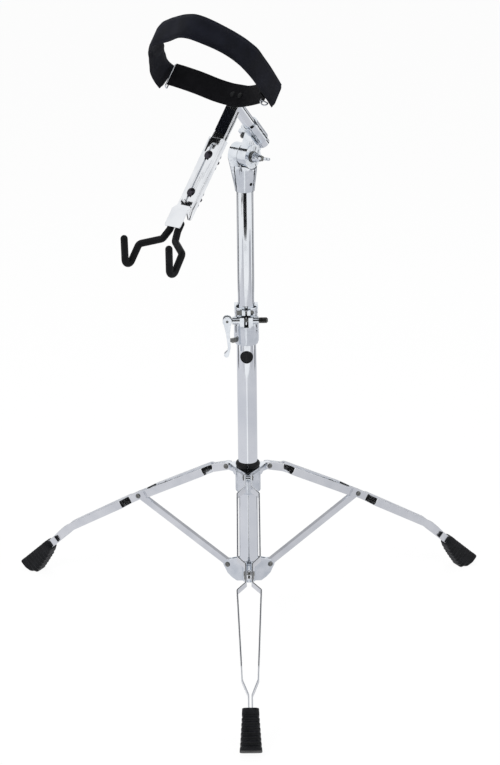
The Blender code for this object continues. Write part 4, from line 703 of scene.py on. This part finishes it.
# Wing nuts in mm; the holder's lie a quarter turn on, along the bar
holderWing = {"bore": 3.3, "foot": 5.0, "hub": 4.4, "top": 13.0, "lobe": 4.6, "lobeOut": 9.0,
              "lobeUp": 18.0, "neckUp": 9.0, "thick": 3.2, "quarterTurn": True}
wingHub = {"chamfer": 0.3, "footEdge": 0.6, "footTop": 2.2, "neckOut": 0.4, "neckFrom": 4.5, "neckTo": 7.0,
           "crown": 1.2}
wingSettings = {
    "tilter_wing_nut": {"joint": "tilter_nut_spin", "bore": 4.3, "foot": 7.2, "hub": 5.6, "top": 13.0,
                        "lobe": 5.4, "lobeOut": 10.5, "lobeUp": 15.5, "neckUp": 6.5, "thick": 4.6,
                        "quarterTurn": False},
    "holder_wing_nut_upper": {**holderWing, "joint": "wing_upper_spin"},
    "holder_wing_nut_lower": {**holderWing, "joint": "wing_lower_spin"}}


def wingGrid(side, s):
    # One wing: a teardrop r(a) = lobe + reach cos(a - inwards)^3 round the lobe's centre, carried
    # through its thickness with rounded edges: outline * cos(b)^0.3, height thick / 2 * sin(b)
    centre = np.array([s["lobeOut"], s["lobeUp"]])
    inwards = np.array([1.0, s["neckUp"]]) - centre
    reach = np.linalg.norm(inwards) - s["lobe"]
    a = np.linspace(0, 2 * math.pi, 72, endpoint=False)
    towards = np.cos(a - math.atan2(inwards[1], inwards[0]))
    radius = s["lobe"] + reach * np.clip(towards, 0, 1) ** 3
    b = np.linspace(-90, 90, 13)[:, None] * deg
    shrink = np.cos(b) ** 0.3
    x = side * (centre[0] + radius * np.cos(a) * shrink)
    z = centre[1] + radius * np.sin(a) * shrink
    y = s["thick"] / 2 * np.sin(b) * np.ones(len(a))
    return np.stack([x, y, z], 2) * mm


def makeWingNut(name, s):
    # A cast nut: the hub's profile turned round its bore, and two wings that lean outwards
    place, low = spinPlace(name, s["joint"])[:2]
    if s["quarterTurn"]:
        place = placeAt(place[1], place[0][1], place[0][2])
    bore, foot, hub, top = s["bore"], s["foot"], s["hub"], s["top"]
    rims = [(bore, s["chamfer"]), (bore + s["chamfer"], 0), (foot - s["footEdge"], 0),
            (foot, s["footEdge"]), (foot, s["footTop"]), (hub + s["neckOut"], s["neckFrom"]),
            (hub, s["neckTo"]), (hub - s["neckOut"], top - 1), (hub - s["crown"], top),
            (bore + s["chamfer"], top), (bore, top - s["chamfer"])]
    lift = np.array([0, 0, low])
    shells = [(moved(turnedGrid(np.array(rims) * mm, 48) + lift, place), True)]
    shells += [(moved(wingGrid(side, s) + lift, place), False) for side in (-1, 1)]
    addPiece(name, "Cast", shells, chromeCasting, 50.0)


knurlSettings = {"ridges": 36, "depth": 0.35 * mm, "edge": 0.7 * mm, "bore": 3.4 * mm}


def makeKnurledNut(name, joint, s):
    # A round nut whose rim is cut into ridges: r = rim - depth (1 + cos n a) between its edges
    place, low, high, radius = spinPlace(name, joint)
    rims = [(s["bore"], low), (radius - s["edge"], low), (radius, low + s["edge"])]
    inset = s["edge"] + 0.1 * mm
    rims += [(radius, z) for z in np.linspace(low + inset, high - inset, 6)]
    rims += [(radius, high - s["edge"]), (radius - s["edge"], high), (s["bore"], high)]

    def ridges(height, angle):
        cut = (height > low + s["edge"]) & (height < high - s["edge"])
        return -s["depth"] * cut * (1 + np.cos(s["ridges"] * angle))

    grid = moved(turnedGrid(rims, 288, ridges), place)
    addPiece(name, "Knurled", [(grid, True)], zincSteel, 25.0)


for wingName, wingValues in wingSettings.items():
    makeWingNut(wingName, {**wingHub, **wingValues})
roundedCopy("collar_wing_screw", chromeCasting, 0.9 * mm, 3)
makeKnurledNut("tension_nut", "thumb_nut_spin", knurlSettings)
print("nuts made")


# Hooks

holderSettings = {"side": 13.2 * mm, "reach": 43.5 * mm, "rise": 81.4 * mm, "angle": 40 * deg}
holderOut = -tiltBack * math.cos(holderSettings["angle"]) + upwards * math.sin(holderSettings["angle"])
holderFace = placeAt(tiltPoint + tiltAxis * holderSettings["side"] - tiltBack * holderSettings["reach"]
                     + upwards * holderSettings["rise"], tiltAxis, holderOut)
hookSettings = {"radius": 5.2 * mm, "bend": 7.0 * mm, "start": 185.0, "axisHeight": 1.1,
                "route": [(7.6, 202.0, 1.1), (12.0, 218.0, 1.7), (41.0, 236.0, 10.0),
                          (42.0, 283.0, 8.0), (42.5, 240.0, 45.0)]}


def makeHook(name, side, s):
    # Rubber sleeve on a bent rod: a round section along straight runs and round bends
    route = [(7.2, s["start"], s["axisHeight"])] + s["route"]
    route = [(side * x * mm, -y * mm, z * mm) for x, y, z in route]
    grid = roundRod(moved(bentRoute(route, s["bend"], 150), holderFace), s["radius"], 32)
    addPiece(name, "_sleeve", [(grid, False)], hookRubber, 60.0)


makeHook("hook_left", -1, hookSettings)
makeHook("hook_right", 1, hookSettings)
print("hooks made")


# Strap

# Routes are (x, z) in mm on the holder face; the pad has one for its lower and one for its upper edge
strapSettings = {
    "padWidth": 40.0 * mm, "padThickness": 6.0 * mm, "creaseDepth": 0.9 * mm, "creasePitch": 43.0 * mm,
    "edge": 2.0 * mm, "webWidth": 35.0 * mm, "webThickness": 2.0 * mm, "gap": 0.3 * mm,
    "flatHalf": 13.0 * mm, "padDrop": 1.0 * mm, "seamShare": 0.42, "seamFrom": 0.86, "seamRamp": 0.25,
    "stitchAt": 0.83, "stitchDepth": 0.16, "stitchWidth": 0.03, "rimFrom": 0.96,
    "creaseLean": 1.6, "creaseLow": 0.35,
    "creased": [(0.17, 0.09, 1.0), (0.44, 0.12, 0.25)],    # place, reach and strength along the pad
    "padLower": [(-121, 25.5), (-116, 46), (-108, 66), (-97, 85), (-83, 105), (-70, 125), (-56, 145),
                 (-37, 164), (-15, 176), (10, 188), (40, 205), (59, 208), (74, 202), (95, 188), (107, 173),
                 (113, 155), (114, 138), (112, 114), (106, 84), (99, 52), (93, 29)],
    "padUpper": [(-114, 23.5), (-116, 36), (-111, 52), (-101, 70), (-88, 92), (-75, 118), (-57, 145),
                 (-36, 165), (-16, 177), (8, 190), (36, 201), (54, 203), (72, 194), (92, 173), (103, 156),
                 (108, 141), (110, 126), (106, 104), (101, 78), (93, 46), (87, 24)],
    "webLeft": [(-100, 36.5), (-84, 32), (-59, 22), (-34, 7.5)],
    "webRight": [(34, 10), (58, 22), (78, 34), (88, 46), (91, 60)]}


def bandGrid(lower, upper, low, high, thickness, outline):
    # A flat section between a lower and an upper route in the plane square to the bar:
    # point = lower (1 - share) + upper share + normal * thickness / 2, share across the band
    share = ((outline[:, 0] + 1) / 2)[None, :, None]
    middle = (lower + upper) / 2
    ahead = unitRows(np.gradient(middle, axis=0))
    normal = np.stack([ahead[:, 1], -ahead[:, 0]], 1)
    flat = lower[:, None, :] * (1 - share) + upper[:, None, :] * share
    flat = flat + normal[:, None, :] * (outline[:, 1] * thickness / 2)[None, :, None]
    height = np.broadcast_to(low + (high - low) * share[..., 0], flat.shape[:2])
    return np.stack([flat[..., 0], height, flat[..., 1]], 2)


def clothUvs(grid, outline, width):
    # UVs in metres: along the band, and across it, the same on both faces
    steps = np.linalg.norm(np.diff(grid.mean(axis=1), axis=0), axis=1)
    along = np.concatenate([[0], np.cumsum(steps)])
    across = (outline[:, 0] + 1) / 2 * width
    return np.stack([np.broadcast_to(along[:, None], grid.shape[:2]),
                     np.broadcast_to(across[None, :], grid.shape[:2])], 2).reshape(-1, 2)


def makeWebbing(s):
    # Flat woven band, flat where it is riveted to the bar, with square folded edges
    seat = s["gap"] + s["webThickness"] / 2
    points = [(x * mm, z * mm) for x, z in s["webLeft"]]
    points += [(-s["flatHalf"], seat), (0, seat), (s["flatHalf"], seat)]
    points += [(x * mm, z * mm) for x, z in s["webRight"]]
    route = smoothCurve(points, 180)
    flatPart = np.abs(route[:, 0]) < s["flatHalf"]
    route[flatPart, 1] = seat
    outline = roundedBox(2.0, 2.0, 0.3, 4)
    outline[:, 0] = np.sign(outline[:, 0]) * (1 - (1 - np.abs(outline[:, 0])) * 0.1)
    grid = bandGrid(route, route, s["edge"], s["edge"] + s["webWidth"], s["webThickness"], outline)
    uvs = clothUvs(grid, outline, s["webWidth"])
    addPiece("strap_webbing", "_woven", [(moved(grid, holderFace), False)], webCloth,
             60.0, uvs)


def makePad(s):
    # Padded band: flat seams at both edges and a crowned middle, thickness = seam + crown;
    # where it turns, creases add depth * sin(along / pitch + across) along its normal, and less at
    # its lower edge
    both = np.concatenate([np.array(s["padLower"]), np.array(s["padUpper"])], 1) * mm
    routes = smoothCurve(both, 460)
    lower, upper = routes[:, :2], routes[:, 2:]
    steps = np.linspace(-1, 1, 41)
    edge = np.abs(steps)
    crown = np.clip((s["seamFrom"] - edge) / s["seamRamp"], 0, 1) ** 0.5
    profile = s["seamShare"] + (1 - s["seamShare"]) * crown
    profile -= s["stitchDepth"] * np.exp(-((edge - s["stitchAt"]) / s["stitchWidth"]) ** 2)
    rim = ((edge - s["rimFrom"]) / (1 - s["rimFrom"])).clip(0, 1)
    profile *= np.sqrt(np.clip(1 - rim ** 2, 0.02, 1))
    outline = np.concatenate([np.stack([steps, profile], 1), np.stack([steps, -profile], 1)[::-1]])
    low = s["edge"] + s["webWidth"] / 2 - s["padWidth"] / 2 - s["padDrop"]
    grid = bandGrid(lower, upper, low, low + s["padWidth"], s["padThickness"], outline)
    along = np.linspace(0, 1, len(grid))[:, None]
    turn = sum(strength * np.exp(-((along - place) / reach) ** 2)
               for place, reach, strength in s["creased"])
    ahead = np.gradient((lower + upper) / 2, axis=0)
    travel = np.cumsum(np.linalg.norm(ahead, axis=1))[:, None]
    ahead = unitRows(ahead)
    acrossBand = outline[None, :, 0]
    wave = np.sin(travel / s["creasePitch"] * 2 * math.pi + acrossBand * s["creaseLean"])
    rise = s["creaseLow"] + (1 - s["creaseLow"]) * (acrossBand + 1) / 2
    push = s["creaseDepth"] * turn * wave * rise
    grid[..., 0] += ahead[:, 1:2] * push
    grid[..., 2] -= ahead[:, 0:1] * push
    uvs = clothUvs(grid, outline, s["padWidth"])
    pad = addPiece("strap_pad", "_sewn", [(moved(grid, holderFace), False)], padCloth,
                   60.0, uvs)


makeWebbing(strapSettings)
makePad(strapSettings)
for rivetName in ("strap_rivet_left", "strap_rivet_right"):
    roundedCopy(rivetName, nylon, 0.3 * mm)

wireSettings = {"buckleWire": 1.0 * mm, "buckleDepth": 9.0 * mm, "buckleTall": 18.6 * mm,
                "bucklePlace": (-103.3, 17.4, 32.4), "buckleLean": 20.0 * deg,
                "ringWire": 1.1 * mm, "ringRadius": 5.4 * mm, "ringPlace": (86.5, 0.4, 40.5),
                "ringLean": -40.0 * deg}


def leaned(points, lean, place):
    # Turned about Y by the lean, then placed on the holder face
    turn = np.array([[math.cos(lean), 0, math.sin(lean)], [0, 1, 0], [-math.sin(lean), 0, math.cos(lean)]])
    return moved(points @ turn.T + np.array(place) * mm, holderFace)


def makeWires(s):
    # Buckle and ring: a round wire along a closed loop
    loops = {"buckle": (roundedBox(s["buckleDepth"], 2 * s["buckleTall"], 2 * mm, 8), 161),
             "ring": (arcPoints((0, 0), s["ringRadius"], 180, 360, 60), 121)}
    for name, (loop, count) in loops.items():
        loop = evenCurve(np.concatenate([loop, loop[:1]]), count)[:-1]
        points = np.stack([np.zeros(len(loop)), loop[:, 1], loop[:, 0]], 1)
        points = leaned(points, s[name + "Lean"], s[name + "Place"])
        grid = roundRod(points, s[name + "Wire"], 20, True)
        addPiece("strap_" + name, "_bent", [(grid, True)], chromeTube, 60.0)


makeWires(wireSettings)
print("strap made")


# Studio: pale floor, soft lights, grey and dark cards that only the chrome sees, and the camera

def seenShare(tree, white):
    # One number: how white a surface is for camera, glossy and transmitted rays, 0 for all others
    paths = addNode(tree, "ShaderNodeLightPath")
    mirrored = addNode(tree, "ShaderNodeMath", {"operation": "MAXIMUM"},
                       links={0: paths.outputs["Is Camera Ray"], 1: paths.outputs["Is Glossy Ray"]})
    seen = addNode(tree, "ShaderNodeMath", {"operation": "MAXIMUM"},
                   links={0: mirrored.outputs[0], 1: paths.outputs["Is Transmission Ray"]})
    share = addNode(tree, "ShaderNodeMath", {"operation": "MULTIPLY"}, inputs={1: white},
                    links={0: seen.outputs[0]})
    return share.outputs[0]


def addFlat(name, corners, material):
    # One flat polygon of the studio
    mesh = bpy.data.meshes.new(name)
    mesh.from_pydata([tuple(corner) for corner in corners], [], [tuple(range(len(corners)))])
    mesh.materials.append(material)
    item = addObject(name, mesh)
    return item


def makeFloor(whiteShare):
    # Pale studio paper that keeps a faint shadow
    material = bpy.data.materials.new("white studio paper")
    tree = bareTree(material)
    paper = addNode(tree, "ShaderNodeBsdfPrincipled", inputs={
        "Base Color": hexColour("#f2f2f2"), "Roughness": 0.8})
    glow = addNode(tree, "ShaderNodeEmission", inputs={"Strength": 1.0})
    mix = addNode(tree, "ShaderNodeMixShader", links={
        0: seenShare(tree, whiteShare), 1: paper.outputs["BSDF"], 2: glow.outputs["Emission"]})
    addNode(tree, "ShaderNodeOutputMaterial", links={"Surface": mix.outputs["Shader"]})
    addFlat("floor", [(-6, -6, 0), (6, -6, 0), (6, 9, 0), (-6, 9, 0)], material)


def makeWorld(softLevel):
    # Soft grey light all round, white where it is seen or mirrored
    world = bpy.data.worlds.new("studio")
    bpy.context.scene.world = world
    tree = bareTree(world)
    soft, white = (addNode(tree, "ShaderNodeBackground",
                           inputs={"Color": (1, 1, 1, 1), "Strength": level}).outputs["Background"]
                   for level in (softLevel, 1.0))
    mix = addNode(tree, "ShaderNodeMixShader", links={0: seenShare(tree, 1.0), 1: soft, 2: white})
    addNode(tree, "ShaderNodeOutputWorld", links={"Surface": mix.outputs["Shader"]})


def setMatrix(item, x, y, z, origin):
    # Rows of the matrix from its three axes and its place
    item.matrix_world = Matrix([(*row, at) for row, at in zip(np.stack([x, y, z], 1).tolist(), origin)]
                               + [(0, 0, 0, 1)])


def addLamp(name, place, target, size, power):
    # Square softbox aimed at a point, left out of mirrors
    lamp = bpy.data.lights.new(name, "AREA")
    lamp.size = size
    lamp.energy = power
    item = addObject(name, lamp)
    back = unit(np.subtract(place, target))
    side = unit(np.cross(upwards, back))
    setMatrix(item, side, np.cross(back, side), back, place)
    item.visible_glossy = False


def addShape(name, corners, tone):
    # A flat card that shows only in mirrors, as a flag does beside polished metal
    material = bpy.data.materials.new(name)
    tree = bareTree(material)
    glow = addNode(tree, "ShaderNodeEmission", inputs={"Color": (tone, tone, tone * 1.04, 1)})
    addNode(tree, "ShaderNodeOutputMaterial", links={"Surface": glow.outputs["Emission"]})
    card = addFlat(name, corners, material)
    card.visible_camera = False
    card.visible_diffuse = False
    card.visible_shadow = False
    card.visible_transmission = False


def addCard(name, centre, across, along, size, tone):
    # A rectangular card round its centre
    corners = [np.array(centre) + across * size[0] / 2 * a + along * size[1] / 2 * b
               for a, b in ((-1, -1), (1, -1), (1, 1), (-1, 1))]
    addShape(name, corners, tone)


cameraSettings = {"distance": 3.110, "height": 1.555, "pitch": 20.282 * deg, "roll": 0.631 * deg,
                  "sensorWidth": 36.0, "focalPixels": 2169.0, "frameWidth": 500.0, "shiftPixels": 3.03}
eyePoint = np.array([0.0, standPoint[1] - cameraSettings["distance"], cameraSettings["height"]])
# Softboxes: place, size and power
lamps = {"key softbox": ((-1.6, -1.8, 2.4), 1.2, 60),
         "fill softbox": ((1.9, -1.5, 1.6), 1.2, 30),
         "top softbox": ((0.0, 0.6, 2.8), 1.5, 40)}
# Cards on the floor: azimuth, near and far end, width, sideways move and tone
floorCards = {"left floor grey": (-98, -1.2, 1.8, 2.0, -1.0, 0.72),
              "right floor grey": (-86, -1.2, 1.8, 2.0, 1.0, 0.66),
              "left far grey": (-128, 1.85, 3.4, 1.0, 0, 0.6),
              "right far grey": (-28, 1.85, 3.4, 1.5, 0, 0.5)}
# Upright cards: azimuth, distance, width, low and high edge and tone
wallCards = {"dark room": (-90, 3.4, 2.8, 0.02, 2.6, 0.012),
             "left back flag": (160, 1.5, 0.4, 0.02, 1.5, 0.02),
             "right back flag": (20, 1.5, 0.4, 0.02, 1.5, 0.02),
             "left back grey": (125, 1.7, 1.2, 0.02, 1.8, 0.45),
             "right back grey": (55, 1.7, 1.2, 0.02, 1.8, 0.45)}
# Cards overhead: how far to the front, width and length, and tone
ceilingHeight = 3.0
ceilingCards = {"ceiling": (0.0, (2.6, 2.2), 0.12), "front ceiling": (1.95, (1.4, 1.6), 0.42)}
# Flags that paint dark and grey reflections on the holder: cards that it mirrors to the camera, this far from it,
# with their tone: outlines in mm of (across, down) on its face, and of (out, down) on flanges that lie some way to
# its side
flagReach = 0.9
faceFlags = {
    "bar top flag": (0.01, [(-13, -4), (14, -4), (17, 16), (13, 21), (6, 16), (0, 13), (-13, 11)]),
    "bar streak": (0.3, [(-6.1, 12.5), (-4.1, 12.8), (-3.1, 36), (-5.5, 36)]),
    "bar foot flag": (0.01, [(-13, 51), (-9, 39), (-1, 36.5), (4, 32.5), (12, 32), (16, 51)]),
    "slide top flag": (0.01, [(-17, 48), (16, 48), (13, 55), (11, 62), (5, 61), (2, 69), (-3, 67),
                              (-6, 75), (-13, 74)]),
    "slide right streak": (0.3, [(12, 86), (13.4, 86), (8, 116), (6.8, 116)]),
    "slide left streak": (0.4, [(1.4, 106), (2.6, 106), (0.6, 137), (-0.5, 137)]),
    "joggle flag": (0.01, [(-15, 167), (-12, 152), (-5, 158), (1, 154), (15, 155), (16, 167)])}
flangeFlags = {
    "bar flange flag": (0.03, 11, [(-8, -6), (-4, -6), (-4, 50), (-8, 50)]),
    "bar flange line": (0.2, 11, [(-2, -6), (-0.8, -6), (-0.8, 50), (-2, 50)]),
    "slide flange line": (0.25, 13.6, [(-0.6, 50), (0.6, 50), (0.6, 175), (-0.6, 175)]),
    "slide back line": (0.4, 13.6, [(-5, 50), (-3.8, 50), (-3.8, 175), (-5, 175)]),
    "slide foot flag": (0.04, 13.6, [(-8, 150), (-6, 150), (-2, 190), (-8, 190)])}


def compass(azimuth):
    # Level unit vector along an azimuth, and the one a quarter turn on
    turn = azimuth * deg
    return (np.array([math.cos(turn), math.sin(turn), 0.0]),
            np.array([-math.sin(turn), math.cos(turn), 0.0]))


def addCards():
    # Grey and black cards on the floor, upright round the stand, and overhead
    for name, (azimuth, near, far, width, aside, tone) in floorCards.items():
        out, across = compass(azimuth)
        centre = standPoint + out * (near + far) / 2 + across * aside + upwards * 3 * mm
        addCard(name, centre, across, out, (width, far - near), tone)
    for name, (azimuth, distance, width, low, high, tone) in wallCards.items():
        out, across = compass(azimuth)
        centre = standPoint + out * distance + upwards * (low + high) / 2
        addCard(name, centre, across, upwards, (width, high - low), tone)
    out, across = compass(0)
    for name, (forward, size, tone) in ceilingCards.items():
        addCard(name, upwards * ceilingHeight - across * forward, out, across, size, tone)


def addFlag(name, outline, square, tone):
    # A flag placed from the camera's eye, so that a flat mirror shows the outline there as a painted reflection:
    # point + reach * (view - 2 (view . square) square)
    outline = moved(np.array(outline) * mm, holderFace)
    view = unitRows(outline - eyePoint)
    mirrored = view - 2 * (view @ square)[:, None] * square
    addShape(name, outline + mirrored * flagReach, tone)


def makeCamera(s):
    # Photograph's view: focal length and shift from its 500 pixel width
    camera = bpy.data.cameras.new("camera")
    camera.sensor_fit = "HORIZONTAL"
    camera.sensor_width = s["sensorWidth"]
    camera.lens = s["focalPixels"] / s["frameWidth"] * s["sensorWidth"]
    camera.shift_x = s["shiftPixels"] / s["frameWidth"]
    item = addObject("camera", camera)
    right = np.array([1.0, 0.0, 0.0])
    ahead = np.array([0.0, math.cos(s["pitch"]), -math.sin(s["pitch"])])
    up = np.cross(right, ahead)
    turnedRight = right * math.cos(s["roll"]) - up * math.sin(s["roll"])
    turnedUp = up * math.cos(s["roll"]) + right * math.sin(s["roll"])
    setMatrix(item, turnedRight, turnedUp, -ahead, eyePoint)
    bpy.context.scene.camera = item


makeFloor(0.95)
makeWorld(0.45)
for lampName, (lampPlace, lampSize, lampPower) in lamps.items():
    addLamp(lampName, lampPlace, (0, 0, 0.5), lampSize, lampPower)
addCards()
# Painted reflections: dark and grey streak and flag shapes that the holder's flat faces mirror to the camera
for flagName, (flagTone, flagOutline) in faceFlags.items():
    addFlag(flagName, [(across, -down, 0) for across, down in flagOutline], holderFace[0][2], flagTone)
for flagName, (flagTone, side, flagOutline) in flangeFlags.items():
    addFlag(flagName, [(side, -down, out) for out, down in flagOutline], holderFace[0][0], flagTone)
makeCamera(cameraSettings)
bpy.context.scene.view_settings.view_transform = "Standard"
print("studio made")
